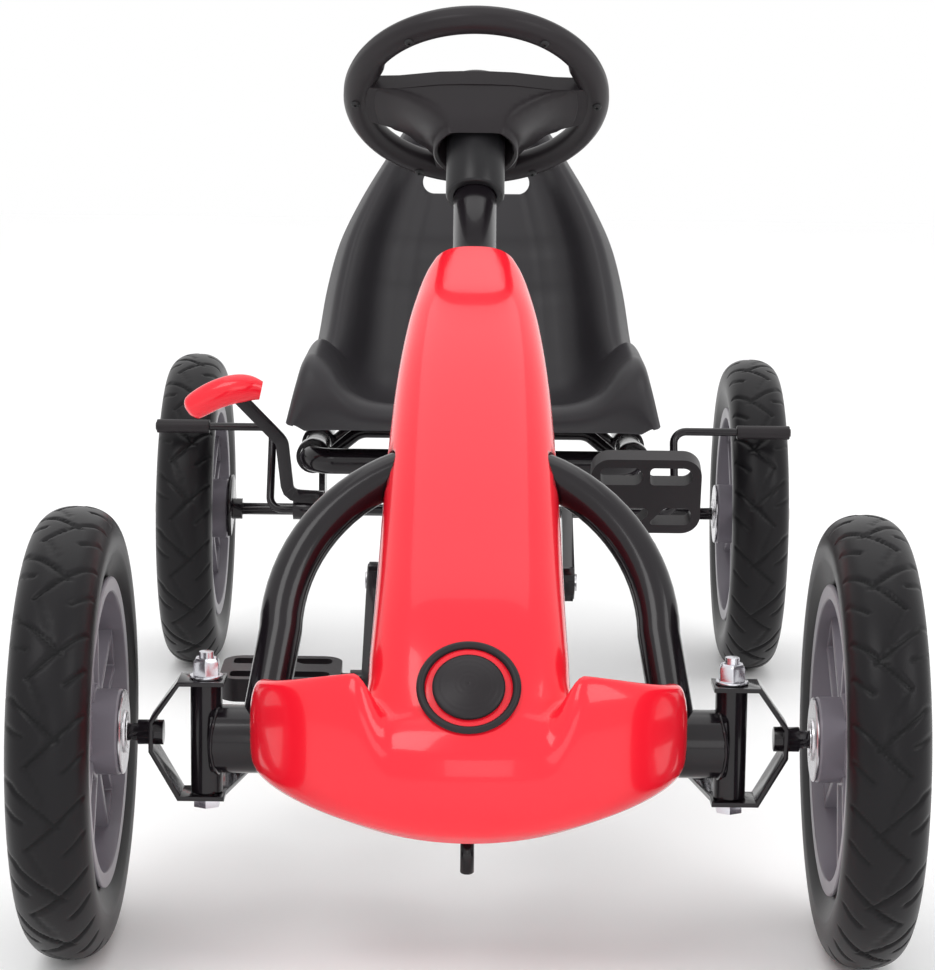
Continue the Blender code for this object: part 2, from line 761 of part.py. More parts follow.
def make_rear_axle():
    group = empty("rear_axle_group", (0, rear, axle_height))
    half = rear_track / 2 + hub_width / 2 + 0.002
    piece("rear_axle", bar(axle_diameter / 2, -half, half), steel, group)
    sprocket = piece("rear_sprocket", toothed(sprocket_teeth, chain_line), zinc, group)
    fit = axle_diameter / 2 + weld_gap
    combine(sprocket, "UNION", bar(0.0125, chain_line - 0.010, chain_line + 0.001))
    combine(sprocket, "DIFFERENCE", bar(fit, chain_line - 0.05, chain_line + 0.05))
    for side, word in ((1, "left"), (-1, "right")):
        inner = axle_diameter / 2 + running_gap
        outer = bearing_seat - weld_gap
        flange = outer + 0.0036
        profile = [(-0.006, inner), (-0.006, outer), (0.0034, outer), (0.0034, flange)]
        profile += [(0.0056, flange), (0.0056, inner)]
        place = side * side_rail_spacing / 2
        shape = turned([(place + side * x, r) for x, r in profile])
        piece(f"{word}_axle_bearing", shape, steel, None, (0, rear, axle_height))
        make_axle_cap(f"rear_{word}_axle_cap", group, side, rear_track / 2 + hub_width / 2 + 0.0028)

    face = -(rear_track / 2 - hub_width / 2) + weld_gap
    outline = [(0.034 * math.cos(a), 0.034 * math.sin(a)) for a in (2 * math.pi * i / 24 for i in range(16))]
    plate = piece("drive_plate", extruded(outline, face, face + 0.004, "X"), black_paint, group)
    combine(plate, "UNION", bar(0.0105, face + 0.002, face + 0.013))
    combine(plate, "DIFFERENCE", bar(fit, face - 0.02, face + 0.05))

    make_wheel("rear_left", (rear_track / 2, rear, axle_height), 1)
    make_wheel("rear_right", (-rear_track / 2, rear, axle_height), -1, driven=True)


def toothed(teeth, place):
    pitch = pitch_radius(teeth)
    outline = []
    for i in range(teeth):
        for share, reach in ((-0.14, 0.0010), (0.14, 0.0010), (0.50, -0.0040)):
            angle = 2 * math.pi * (i + share) / teeth
            outline.append(((pitch + reach) * math.cos(angle), (pitch + reach) * math.sin(angle)))
    return extruded(outline, place - sprocket_thickness / 2, place + sprocket_thickness / 2, "X")


def make_chain():
    """A closed band that runs round both sprockets, just outside their teeth."""
    large, small = pitch_radius(chainring_teeth), pitch_radius(sprocket_teeth)
    start, end = Vector(crank_axis), Vector((rear, axle_height))
    span = end - start
    heading = math.atan2(span.y, span.x)
    lean = math.acos((large - small) / span.length)
    inside = 0.0016

    def loop(offset):
        path = []
        for centre, radius, first, last, steps in (
            (start, large, heading + lean, heading + 2 * math.pi - lean, 18),
            (end, small, heading - lean, heading + lean, 9),
        ):
            # A polygon's flats lie inside its corners, so its corners stand out by this share.
            swell = 1 / math.cos((last - first) / steps / 2)
            for i in range(steps + 1):
                angle = first + (last - first) * i / steps
                reach = (radius + offset) * swell
                path.append((centre.x + reach * math.cos(angle), centre.y + reach * math.sin(angle)))
        return path

    sections = []
    for (y0, z0), (y1, z1) in zip(loop(inside), loop(inside + chain_height)):
        low, high = chain_line - chain_width / 2, chain_line + chain_width / 2
        sections.append([(low, y0, z0), (low, y1, z1), (high, y1, z1), (high, y0, z0)])
    piece("chain", skin(sections, closed=True), steel)


def make_crank():
    group = empty("crank_group", (0, *crank_axis))
    reach = crank_spread / 2
    spindle_end = reach + crank_arm_thickness / 2 + 0.002
    radius = spindle_diameter / 2
    piece("crank_spindle", bar(radius, -spindle_end, spindle_end), steel, group)
    ring = piece("chainring", toothed(chainring_teeth, chain_line), black_paint, group)
    hub_low = shell_width / 2 + 0.0015
    combine(ring, "UNION", bar(0.0140, hub_low, chain_line + 0.006))
    combine(ring, "DIFFERENCE", bar(radius + weld_gap, 0, 0.1))
    for side, word in ((1, "left"), (-1, "right")):
        tip = (side * crank_length * math.cos(crank_angle), side * crank_length * math.sin(crank_angle))
        low, high = reach - crank_arm_thickness / 2, reach + crank_arm_thickness / 2
        shape = extruded(capsule((0, 0), tip, 0.0135, 0.0105), low, high, "X")
        shape = shape if side > 0 else mirrored(shape)
        arm = piece(f"{word}_crank_arm", shape, black_paint, group)
        pin_end = reach + pedal_gap + pedal_width - 0.0045
        pin = bar(pedal_spindle_diameter / 2, side * (reach - 0.003), side * pin_end, 16)
        collar = bar(0.0075, side * (high - 0.001), side * (high + 0.009), 16)
        outline = [(-0.010, -0.0135), (0.010, -0.0135), (0.010, 0.0135), (-0.010, 0.0135)]
        block = extruded(outline, low - 0.004, high - 0.001, "X")
        block = block if side > 0 else mirrored(block)
        combine(arm, "UNION", shifted(pin, (0, *tip)), shifted(collar, (0, *tip)), block)
        combine(arm, "DIFFERENCE", bar(radius + weld_gap, side * 0.04, side * 0.14))
        make_pedal(f"{word}_pedal", side, reach + pedal_gap, tip)


def make_pedal(name, side, start, tip):
    """A moulded pedal with a spindle tube and two open windows."""
    pitch = pedal_pitches[0] if side > 0 else pedal_pitches[1]
    half = pedal_length / 2
    middle = start + pedal_width / 2
    outline = rounded_box(pedal_width / 2, half, pedal_corner)
    body = extruded(outline, -pedal_thickness / 2, pedal_thickness / 2, "Z")
    place = (side * middle, crank_axis[0] + tip[0], crank_axis[1] + tip[1])
    pedal = piece(name, body, black_plastic, empty(f"{name}_pivot", place, (-pitch, 0, 0)))
    bore_radius = pedal_spindle_diameter / 2 + running_gap
    edge, spine = 0.0075, 0.0105
    windows = []
    for low, high in ((-half + edge, -spine), (spine, half - edge)):
        for left, right in ((-pedal_width / 2 + edge, -0.003), (0.003, pedal_width / 2 - edge)):
            outline = rounded_box((right - left) / 2, (high - low) / 2, 0.006)
            middle = ((left + right) / 2, (low + high) / 2)
            outline = [(middle[0] + x, middle[1] + y) for x, y in outline]
            windows.append(extruded(outline, -0.05, 0.05, "Z"))
    combine(pedal, "DIFFERENCE", together(*windows), bar(bore_radius, -0.1, 0.1, 16))


def make_seat_arches():
    half = side_rail_spacing / 2
    top = seat_bottom - 0.0010 - seat_arch_diameter / 2
    clamp_inner, clamp_outer = side_rail_diameter / 2 + running_gap, side_rail_diameter / 2 + 0.0040
    foot = half - clamp_outer + 0.001
    for word, place in zip(("front", "rear"), arch_places):
        path = [(foot, place, side_rail_height), (foot - 0.028, place, top)]
        path += [(-x, y, z) for x, y, z in path[::-1]]
        shape = pipe(rounded(path, 0.020, 3), seat_arch_diameter, sides=8)
        arch = piece(f"{word}_seat_arch", shape, black_paint)
        clamps, bores = [], []
        for x in (-half, half):
            ends = [(x, place - 0.009, side_rail_height), (x, place + 0.009, side_rail_height)]
            clamps.append(pipe(ends, 2 * clamp_outer, sides=10))
            ends = [(x, place - 0.02, side_rail_height), (x, place + 0.02, side_rail_height)]
            bores.append(pipe(ends, 2 * clamp_inner, sides=10))
        combine(arch, "UNION", together(*clamps))
        combine(arch, "DIFFERENCE", together(*bores))
    knob = [(-0.016, 0.011), (-0.014, 0.0125), (-0.004, 0.0125), (-0.003, 0.005), (0, 0.005)]
    bottom = side_rail_height - clamp_outer - weld_gap
    piece("seat_knob", shifted(upright(stacked(knob, 16)), (half, arch_places[0], bottom)), black_plastic)


def seat_rows():
    """The seat's rows from the front lip along the base and up the back."""
    half = seat_width / 2
    base = seat_bottom + seat_wall + 0.003
    back = seat_top - base
    rows = [
        # distance back, height, share of the half width, bolster height, skirt depth, lean of the bolster
        (0.008, -0.002, 0.90, 0.000, 0.001, 0.0),
        (0.000, 0.005, 0.95, 0.012, 0.014, 0.0),
        (0.001, 0.014, 0.98, 0.025, 0.036, 0.0),
        (0.010, 0.021, 1.00, 0.035, 0.052, 0.0),
        (0.026, 0.021, 1.00, 0.043, 0.060, 0.0),
        (0.050, 0.015, 1.00, 0.050, 0.062, 0.0),
        (0.100, 0.006, 1.00, 0.059, 0.062, 0.0),
        (0.155, 0.001, 1.00, 0.064, 0.062, 0.1),
        (0.205, 0.004, 0.98, 0.064, 0.060, 0.4),
        (0.238, 0.022, 0.94, 0.060, 0.052, 0.8),
        (0.258, 0.058, 0.90, 0.054, 0.044, 1.0),
        (0.275, 0.100, 0.86, 0.047, 0.036, 1.0),
        (0.290, 0.145, 0.79, 0.041, 0.030, 1.0),
        (0.305, 0.188, 0.67, 0.034, 0.024, 1.0),
        (0.320, 0.228, 0.53, 0.026, 0.018, 1.0),
        (0.333, 0.258, 0.42, 0.016, 0.012, 1.0),
        (0.341, 0.275, 0.31, 0.008, 0.008, 1.0),
    ]
    length = seat_length / 0.341
    height = back / 0.2795
    return [(seat_front + y * length, base + z * height, share * half, *rest) for y, z, share, *rest in rows]


def make_seat():
    """The moulded bucket: a dished shell whose bolsters turn down into a skirt, with a slot near the top."""
    rows = seat_rows()
    # share of the half width, share of the bolster's rise, share of the skirt's fall
    half_section = [
        (0.00, 0.00, 0.00),
        (0.26, 0.00, 0.00),
        (0.50, 0.02, 0.00),
        (0.66, 0.26, 0.00),
        (0.77, 0.78, 0.00),
        (0.85, 1.00, 0.00),
        (0.91, 1.00, 0.08),
        (0.95, 1.00, 0.40),
        (1.00, 1.00, 1.00),
    ]
    section = [(-x, rise, fall) for x, rise, fall in half_section[:0:-1]] + half_section
    slope = Vector((0, 0.30, 0.95)).normalized()
    forward = Vector((0, -slope.z, slope.y))
    surface = []
    for y, z, half, bolster, skirt, lean in rows:
        up = Vector((0, 0, 1)).lerp(forward, lean).normalized()
        heights = [bolster * rise - skirt * fall for _, rise, fall in section]
        surface.append([Vector((half * x, y, z)) + up * h for (x, _, _), h in zip(section, heights)])
    seat = piece("seat", shell(surface, seat_wall), seat_plastic)
    height = seat_top - 0.072
    slot = capsule((-0.042, height), (0.042, height), 0.0115, 0.0115)
    combine(seat, "DIFFERENCE", extruded(slot, seat_front + 0.22, seat_front + 0.40, "Y"))


def make_brake():
    group = empty("brake_group", (0, *brake_axis))
    reach = Vector((brake_bar_reach[0] - brake_axis[0], brake_bar_reach[1] - brake_axis[1]))
    half = brake_bar_spread / 2
    tip = rear_track / 2 + tyre_width / 2 - 0.002
    path = [(tip, *reach), (half, *reach), (half, 0, 0)]
    path += [(-x, y, z) for x, y, z in path[::-1]]
    piece("brake_bar", pipe(rounded(path, 0.012, 3), brake_bar_diameter, sides=8), black_paint, group)
    fit = brake_bar_diameter / 2 + weld_gap
    length, radius = brake_sleeve_length, brake_sleeve_diameter / 2
    sleeve = [(-length / 2, fit), (-length / 2, radius), (length / 2, radius), (length / 2, fit)]
    for side, word in ((1, "left"), (-1, "right")):
        shape = shifted(turned(sleeve, 16), (side * (tip - length / 2 - 0.001), *reach))
        piece(f"{word}_brake_sleeve", shape, black_plastic, group)

    corners = [(-0.140, -0.002, 0.012), (-0.172, -0.010, 0.015)]
    corners += [(-0.176, -0.038, 0.070), (-0.214, -0.053, 0.112)]
    path = rounded(corners, 0.014, 3)
    lever = piece("brake_lever", ribbon(path, 0.012, 0.005), black_paint, group)
    combine(lever, "UNION", bar(0.0095, -0.168, -0.1405, 16))
    combine(lever, "DIFFERENCE", bar(fit, -0.18, -0.12))
    grip_path = [(-0.197, -0.053, 0.1205), (-0.212, -0.054, 0.1215), (-0.229, -0.055, 0.1175)]
    grip_path += [(-0.246, -0.054, 0.109), (-0.2585, -0.052, 0.101)]
    grip = piece("brake_grip", pipe(grip_path, 0.026, sides=12), red_plastic, group)
    combine(grip, "DIFFERENCE", ribbon(path, 0.012 + 2 * weld_gap, 0.005 + 2 * weld_gap))
    spring = turned([(-0.138, fit), (-0.138, 0.0085), (-0.108, 0.0085), (-0.108, fit)], 16)
    piece("brake_spring", spring, steel, group)


def fairing_rows():
    """The fairing's rows from its top edge down the ramp and round the nose."""
    top = (column_foot[0] - 0.0255, column_foot[1] + 0.0030)
    nose = (front - 0.1160, axle_height - 0.0070)
    rows = [
        # share of the length and height, half width, depth, squareness, bow, rise of the ends
        (-0.000, 1.000, 0.0345, 0.030, 2.6, 0.0, 0.000),
        (0.029, 0.988, 0.0405, 0.036, 2.8, 0.0, 0.000),
        (0.083, 0.955, 0.0455, 0.042, 3.0, 0.0, 0.000),
        (0.172, 0.895, 0.0510, 0.048, 3.2, 0.0, 0.000),
        (0.306, 0.800, 0.0565, 0.050, 3.4, 0.0, 0.000),
        (0.439, 0.694, 0.0600, 0.050, 3.4, 0.0, 0.000),
        (0.573, 0.575, 0.0625, 0.050, 3.4, 0.0, 0.000),
        (0.706, 0.444, 0.0645, 0.050, 3.4, 0.0, 0.000),
        (0.791, 0.355, 0.0660, 0.050, 3.4, 0.0, 0.000),
        (0.850, 0.281, 0.0675, 0.048, 3.2, 0.0, 0.000),
        (0.893, 0.219, 0.0690, 0.046, 3.0, 0.0, 0.000),
        (0.937, 0.156, 0.0760, 0.050, 2.6, 0.1, 0.001),
        (0.955, 0.130, 0.1180, 0.060, 2.2, 0.4, 0.034),
        (0.976, 0.097, 0.1380, 0.070, 2.2, 0.8, 0.031),
        (0.993, 0.056, 0.1460, 0.078, 2.2, 1.0, 0.025),
        (1.000, 0.000, 0.1475, 0.082, 2.2, 1.0, 0.016),
        (0.995, -0.056, 0.1455, 0.082, 2.2, 1.0, 0.013),
        (0.976, -0.103, 0.1350, 0.080, 2.2, 1.0, 0.015),
        (0.947, -0.131, 0.1150, 0.070, 2.2, 1.0, 0.016),
    ]
    placed = []
    for along, height, *rest in rows:
        y = top[0] + (nose[0] - top[0]) * along
        z = nose[1] + (top[1] - nose[1]) * height
        placed.append((y, z, *rest))
    return placed


def fairing_surface(steps=12):
    rows = fairing_rows()
    surface = []
    for i, (y, z, half, depth, square, bow, rise) in enumerate(rows):
        ahead, behind = rows[max(i - 1, 0)], rows[min(i + 1, len(rows) - 1)]
        along = Vector((0, behind[0] - ahead[0], behind[1] - ahead[1])).normalized()
        inward = Vector((0, -along.z, along.y))
        inward = inward if inward.y > 0 else -inward
        inward = inward.lerp(Vector((0, 1, 0)), bow).normalized()
        line = []
        for j in range(steps + 1):
            angle = math.pi * (j / steps - 0.5)
            across = math.copysign(abs(math.sin(angle)) ** (2 / square), math.sin(angle))
            deep = 1 - abs(math.cos(angle)) ** (2 / square)
            back = depth * (deep * (1 - 0.35 * bow) + 0.35 * bow * across**2)
            beside = min(1, max(0, (abs(half * across) - 0.036) / 0.044))
            lift = rise * (beside if z > axle_height else across**2)
            line.append(Vector((half * across, y, z + lift)) + inward * back)
        surface.append(line)
    return surface


def make_fairing():
    fairing = piece("front_fairing", shell(fairing_surface(), -fairing_wall), red_plastic)
    combine(fairing, "DIFFERENCE", pipe(hoop_path(), hoop_diameter + 0.003, sides=10))

    outward = Vector((0, -math.sin(badge_slope), math.cos(badge_slope)))
    turn = Vector((1, 0, 0)).rotation_difference(outward).to_matrix().to_4x4()
    badge = stacked([(0, badge_diameter / 2), (0.0022, badge_diameter / 2 - 0.0006)], 32)
    place = Vector((0, *badge_place)) + outward * 0.0008
    piece("badge", moved(badge, Matrix.Translation(place) @ turn), black_plastic)


for leftover in list(bpy.data.objects):
    bpy.data.objects.remove(leftover)

rubber = material("tyre_rubber", (0.035, 0.035, 0.037), 0.62)
grey_plastic = material("grey_plastic", (0.30, 0.30, 0.31), 0.45)
pale_plastic = material("pale_plastic", (0.80, 0.80, 0.78), 0.45)
black_plastic = material("black_plastic", (0.025, 0.025, 0.027), 0.42)
seat_plastic = material("seat_plastic", (0.035, 0.036, 0.040), 0.48)
red_plastic = material("red_plastic", (0.90, 0.035, 0.055), 0.18)
black_paint = material("black_paint", (0.012, 0.012, 0.014), 0.22)
zinc = material("zinc", (0.72, 0.73, 0.75), 0.28, 1.0)
steel = material("steel", (0.60, 0.61, 0.63), 0.30, 1.0)

barrel_low, barrel_high = make_front_axle()
for wheel_side in (-1, 1):
    arm_level = make_knuckle(wheel_side, barrel_low, barrel_high)
    make_tie_rod(wheel_side, arm_level)
make_hoop()
make_main_tube()
make_column()
make_steering()
make_rear_frame()
make_rear_axle()
make_chain()
make_crank()
make_seat_arches()
make_seat()
make_brake()
make_fairing()
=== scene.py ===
import json
import math

import bmesh
import bpy
import numpy as np
from mathutils import Matrix, Vector

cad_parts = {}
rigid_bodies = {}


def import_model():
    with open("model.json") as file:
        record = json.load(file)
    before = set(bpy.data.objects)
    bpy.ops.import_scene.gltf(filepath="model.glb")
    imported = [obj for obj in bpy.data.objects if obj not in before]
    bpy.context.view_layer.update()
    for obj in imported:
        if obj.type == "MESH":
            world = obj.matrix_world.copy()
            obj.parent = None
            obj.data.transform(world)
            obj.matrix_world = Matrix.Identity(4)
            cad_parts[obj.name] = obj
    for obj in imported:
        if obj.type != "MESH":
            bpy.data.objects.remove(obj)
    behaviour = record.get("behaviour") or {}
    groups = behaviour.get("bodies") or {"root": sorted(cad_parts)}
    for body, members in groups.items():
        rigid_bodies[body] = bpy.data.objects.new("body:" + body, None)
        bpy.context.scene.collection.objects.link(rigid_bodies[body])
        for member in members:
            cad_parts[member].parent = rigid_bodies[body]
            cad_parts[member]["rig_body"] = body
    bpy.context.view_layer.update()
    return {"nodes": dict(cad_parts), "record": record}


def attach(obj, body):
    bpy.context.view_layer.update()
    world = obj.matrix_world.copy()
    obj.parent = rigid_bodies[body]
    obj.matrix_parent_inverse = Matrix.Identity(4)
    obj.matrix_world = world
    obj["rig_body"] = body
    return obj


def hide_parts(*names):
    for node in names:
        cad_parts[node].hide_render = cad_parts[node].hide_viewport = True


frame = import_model()
nodes = frame["nodes"]
slotOf = {row["node"]: row["material_slot"] for row in frame["record"]["subparts"]}
print("frame loaded:", len(nodes), "CAD nodes")

# Places of the whole kart: the front faces -Y and the driver's left is +X
kart = {
    "frontAxleY": -0.450,
    "rearAxleY": 0.450,
    "axleHeight": 0.155,
    "beamHeight": 0.151,
    "frontHalfTrack": 0.270,
    "rearHalfTrack": 0.276,
    "crankPlace": (-0.100, 0.193),
    "columnFoot": (-0.1285, 0.4650),
    "columnSlope": math.radians(50),
}
columnAxis = Vector((0, math.cos(kart["columnSlope"]), math.sin(kart["columnSlope"])))
columnAhead = Vector((0, -columnAxis.z, columnAxis.y))


def newNode(tree, kind, **values):
    node = tree.nodes.new(kind)
    for key, value in values.items():
        if key in node.inputs.keys():
            node.inputs[key].default_value = value
        else:
            setattr(node, key, value)
    return node


def makeFinish(name, colour, roughness, metallic=0.0, coat=0.0, specular=0.5, grain=900, depth=0.05,
               patch=14, patchShare=0.12, roughSpread=0.10, edgeColour=None, grooveShadeColour=None):
    finish = bpy.data.materials.new(name)
    finish.use_nodes = True
    tree = finish.node_tree
    shader = tree.nodes["Principled BSDF"]
    shader.inputs["Metallic"].default_value = metallic
    shader.inputs["Coat Weight"].default_value = coat
    shader.inputs["Coat Roughness"].default_value = 0.06
    shader.inputs["Specular IOR Level"].default_value = specular
    place = newNode(tree, "ShaderNodeTexCoord")
    broad = newNode(tree, "ShaderNodeTexNoise", Scale=patch, Detail=3.0, Roughness=0.6)
    fine = newNode(tree, "ShaderNodeTexNoise", Scale=grain, Detail=2.0, Roughness=0.7)
    tree.links.new(place.outputs["Object"], broad.inputs["Vector"])
    tree.links.new(place.outputs["Object"], fine.inputs["Vector"])
    tint = newNode(tree, "ShaderNodeMix", data_type="RGBA")
    low = tuple(c * (1 - patchShare) for c in colour)
    high = tuple(min(1.0, c * (1 + patchShare) + 0.002) for c in colour)
    tint.inputs[6].default_value = (*low, 1)
    tint.inputs[7].default_value = (*high, 1)
    tree.links.new(broad.outputs["Fac"], tint.inputs[0])
    last = tint.outputs[2]
    if edgeColour is not None:  # lighter colour on sharp convex edges, found by pointiness
        edgeSharpness = newNode(tree, "ShaderNodeNewGeometry")
        ramp = newNode(tree, "ShaderNodeMapRange")
        ramp.inputs["From Min"].default_value = 0.52
        ramp.inputs["From Max"].default_value = 0.62
        ramp.inputs["To Max"].default_value = 0.55
        tree.links.new(edgeSharpness.outputs["Pointiness"], ramp.inputs["Value"])
        edge = newNode(tree, "ShaderNodeMix", data_type="RGBA")
        edge.inputs[7].default_value = (*edgeColour, 1)
        tree.links.new(ramp.outputs["Result"], edge.inputs[0])
        tree.links.new(last, edge.inputs[6])
        last = edge.outputs[2]
    if grooveShadeColour is not None:  # painted shade: the grooves are darkened by the tread depth, which is stored on the mesh
        grooveShadeMask = newNode(tree, "ShaderNodeAttribute", attribute_name="paintedGrooveShade")
        cut = newNode(tree, "ShaderNodeMix", data_type="RGBA")
        cut.inputs[7].default_value = (*grooveShadeColour, 1)
        tree.links.new(grooveShadeMask.outputs["Fac"], cut.inputs[0])
        tree.links.new(last, cut.inputs[6])
        last = cut.outputs[2]
    tree.links.new(last, shader.inputs["Base Color"])
    rough = newNode(tree, "ShaderNodeMapRange")
    rough.inputs["To Min"].default_value = max(0.02, roughness - roughSpread)
    rough.inputs["To Max"].default_value = min(1.0, roughness + roughSpread)
    tree.links.new(broad.outputs["Fac"], rough.inputs["Value"])
    tree.links.new(rough.outputs["Result"], shader.inputs["Roughness"])
    bump = newNode(tree, "ShaderNodeBump", Strength=depth, Distance=0.0006)
    tree.links.new(fine.outputs["Fac"], bump.inputs["Height"])
    tree.links.new(bump.outputs["Normal"], shader.inputs["Normal"])
    finish.diffuse_color = (*colour, 1)
    return finish


# the tyre's groove colour is painted shade in the tread grooves
finishes = {"tyre_rubber": makeFinish("tyreRubber", (0.0075, 0.0068, 0.0080), 0.36, specular=0.17,
    grain=700, depth=0.10, patch=9, patchShare=0.16, roughSpread=0.08,
    grooveShadeColour=(0.0015, 0.0015, 0.002)), "grey_plastic": makeFinish("rimPlastic", (0.165, 0.150, 0.176),
    0.34, grain=1100, depth=0.08, patch=11, patchShare=0.08, edgeColour=(0.20, 0.19, 0.21)),
    "pale_plastic": makeFinish("capPlastic", (0.74, 0.73, 0.70), 0.42, grain=1200, depth=0.05,
    patchShare=0.05), "black_plastic": makeFinish("blackPlastic", (0.016, 0.013, 0.015), 0.36,
    specular=0.24, grain=1500, depth=0.14, patch=12, patchShare=0.20),
    "seat_plastic": makeFinish("seatPlastic", (0.020, 0.018, 0.021), 0.40, specular=0.35, grain=1700,
    depth=0.22, patch=8, patchShare=0.18, edgeColour=(0.06, 0.058, 0.064)),
    "red_plastic": makeFinish("redPlastic", (0.88, 0.010, 0.026), 0.20, coat=0.5, specular=0.25, grain=240,
    depth=0.012, patch=5, patchShare=0.03, roughSpread=0.03),
    "black_paint": makeFinish("blackPaint", (0.007, 0.005, 0.007), 0.20, coat=0.25, specular=0.25,
    grain=420, depth=0.03, patch=16, patchShare=0.25, roughSpread=0.05),
    "zinc": makeFinish("zincPlate", (0.66, 0.66, 0.70), 0.26, metallic=1.0, grain=600, depth=0.05,
    patch=60, patchShare=0.10, roughSpread=0.08), "steel": makeFinish("bareSteel", (0.58, 0.57, 0.59),
    0.28, metallic=1.0, grain=800, depth=0.06, patch=40, patchShare=0.12, roughSpread=0.10),}
finishes["column_plastic"] = makeFinish("sleevePlastic", (0.010, 0.0095, 0.011), 0.30, specular=0.3,
    grain=1200, depth=0.10, patch=12)
# painted shade: a near-black finish that stands for the shade inside the screw recesses
finishes["painted_hole_shade"] = makeFinish("paintedRecessShade", (0.004, 0.004, 0.005), 0.6, grain=500, depth=0.02)
for name, node in nodes.items():
    node.data.materials.clear()
    node.data.materials.append(finishes[slotOf[name]])
print("finishes made")


def onColumn(distance, lift=0.0, across=0.0):
    foot = Vector((0, *kart["columnFoot"]))
    return foot + columnAxis * distance + columnAhead * lift + Vector((across, 0, 0))


def toMesh(name, points, faces, smoothAngle=38):
    mesh = bpy.data.meshes.new(name)
    mesh.from_pydata([tuple(p) for p in points], [], [tuple(int(i) for i in f) for f in faces])
    work = bmesh.new()
    work.from_mesh(mesh)
    bmesh.ops.remove_doubles(work, verts=work.verts, dist=1e-6)
    bmesh.ops.recalc_face_normals(work, faces=work.faces)
    work.to_mesh(mesh)
    work.free()
    mesh.shade_smooth()
    mesh.set_sharp_from_angle(angle=math.radians(smoothAngle))
    return mesh


def addPiece(name, mesh, standsFor, finish=None, body=None):
    names = [standsFor] if isinstance(standsFor, str) else list(standsFor)
    piece = bpy.data.objects.new(name, mesh)
    bpy.context.scene.collection.objects.link(piece)
    mesh.materials.clear()
    mesh.materials.append(finishes[finish or slotOf[names[0]]])
    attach(piece, body or nodes[names[0]]["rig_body"])
    return piece


def claim(piece, *names):
    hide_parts(*names)
    return piece


def standIn(name, shape, nodeName, smoothAngle=38, finish=None):
    return claim(addPiece(name, toMesh(name, *shape, smoothAngle=smoothAngle), nodeName, finish), nodeName)


def joined(*shapes):
    points, faces = [], []
    for morePoints, moreFaces in shapes:
        faces += [tuple(i + len(points) for i in face) for face in moreFaces]
        points += [Vector(p) for p in morePoints]
    return points, faces


def shifted(shape, place):
    return [Vector(p) + Vector(place) for p in shape[0]], shape[1]


def skin(rings, closed=False):
    count = len(rings[0])
    points = [p for ring in rings for p in ring]
    faces = []
    for i in range(len(rings) - (0 if closed else 1)):
        here, there = i * count, (i + 1) % len(rings) * count
        for j in range(count):
            k = (j + 1) % count
            faces.append((here + j, here + k, there + k, there + j))
    if not closed:
        faces.append(tuple(range(count)))
        faces.append(tuple(range(len(points) - count, len(points))))
    return points, faces


def lathe(profile, sides=64, place=(0, 0, 0), along="X"):
    rings = []
    for i in range(sides):
        a = 2 * math.pi * i / sides
        if along == "X":
            rings.append([Vector((x, r * math.sin(a), r * math.cos(a))) + Vector(place) for x, r in profile])
        elif along == "Z":
            rings.append([Vector((r * math.cos(a), r * math.sin(a), x)) + Vector(place) for x, r in profile])
        else:  # about the steering axis
            rings.append([onColumn(x, r * math.sin(a), r * math.cos(a)) for x, r in profile])
    return skin(rings, closed=True)


def smoothed(points, radius, steps=8):
    points = [Vector(p) for p in points]
    path = [points[0]]
    for before, corner, after in zip(points, points[1:], points[2:]):
        a, b = (before - corner).normalized(), (after - corner).normalized()
        half = a.angle(b) / 2
        if math.pi / 2 - half < 0.01:
            path.append(corner)
            continue
        reach = min(radius / math.tan(half), 0.49 * min((before - corner).length, (after - corner).length))
        centre = corner + (a + b).normalized() * reach * math.tan(half) / math.sin(half)
        start, end = corner + a * reach - centre, corner + b * reach - centre
        sweep = start.angle(end)
        for i in range(steps + 1):
            t = i / steps
            mixed = start * math.sin((1 - t) * sweep) + end * math.sin(t * sweep)
            path.append(centre + mixed / math.sin(sweep))
    path.append(points[-1])
    return path


def tube(path, diameter, sides=32, wall=None):
    path = [Vector(p) for p in path]
    tangents = []
    for i, point in enumerate(path):
        before = (point - path[i - 1]).normalized() if i else None
        after = (path[i + 1] - point).normalized() if i + 1 < len(path) else None
        tangents.append(((before or after) + (after or before)).normalized())
    side = Vector((1, 0, 0)) if abs(tangents[0].x) < 0.9 else Vector((0, 0, 1))
    rings, inner = [], []
    for point, tangent in zip(path, tangents):
        side = (side - tangent * side.dot(tangent)).normalized()
        up = tangent.cross(side)
        ring, hollow = [], []
        for i in range(sides):
            a = 2 * math.pi * (i + 0.5) / sides
            way = side * math.cos(a) + up * math.sin(a)
            ring.append(point + way * diameter / 2)
            hollow.append(point + way * (diameter / 2 - (wall or 0)))
        rings.append(ring)
        inner.append(hollow)
    return skin(rings) if wall is None else skin(rings + inner[::-1], closed=True)


def softEdges(piece, width, segments=2, angle=35):
    bevel = piece.modifiers.new("edges", "BEVEL")
    bevel.width, bevel.segments, bevel.limit_method = width, segments, "ANGLE"
    bevel.angle_limit = math.radians(angle)
    return piece


def softenedCopy(name, nodeName, width=0.0007, segments=2, finish=None):
    work = bmesh.new()
    work.from_mesh(nodes[nodeName].data)
    bmesh.ops.remove_doubles(work, verts=work.verts, dist=2e-5)
    bmesh.ops.dissolve_limit(work, angle_limit=math.radians(1.5), verts=work.verts, edges=work.edges)
    mesh = bpy.data.meshes.new(name)
    work.to_mesh(mesh)
    work.free()
    mesh.shade_smooth()
    piece = addPiece(name, mesh, nodeName, finish)
    softEdges(piece, width, segments, 30).modifiers["edges"].harden_normals = True
    return claim(piece, nodeName)


# Wheels
tyre = {
    "radius": 0.155,
    "width": 0.054,
    "bead": 0.1016,
    "beadHalfWidth": 0.0194,
    "lipRadius": 0.1086,
    "aroundSteps": 680,
    "pitches": 17,
    "grooveDepth": 0.0024,
    "grooveWidth": 0.0014,
}
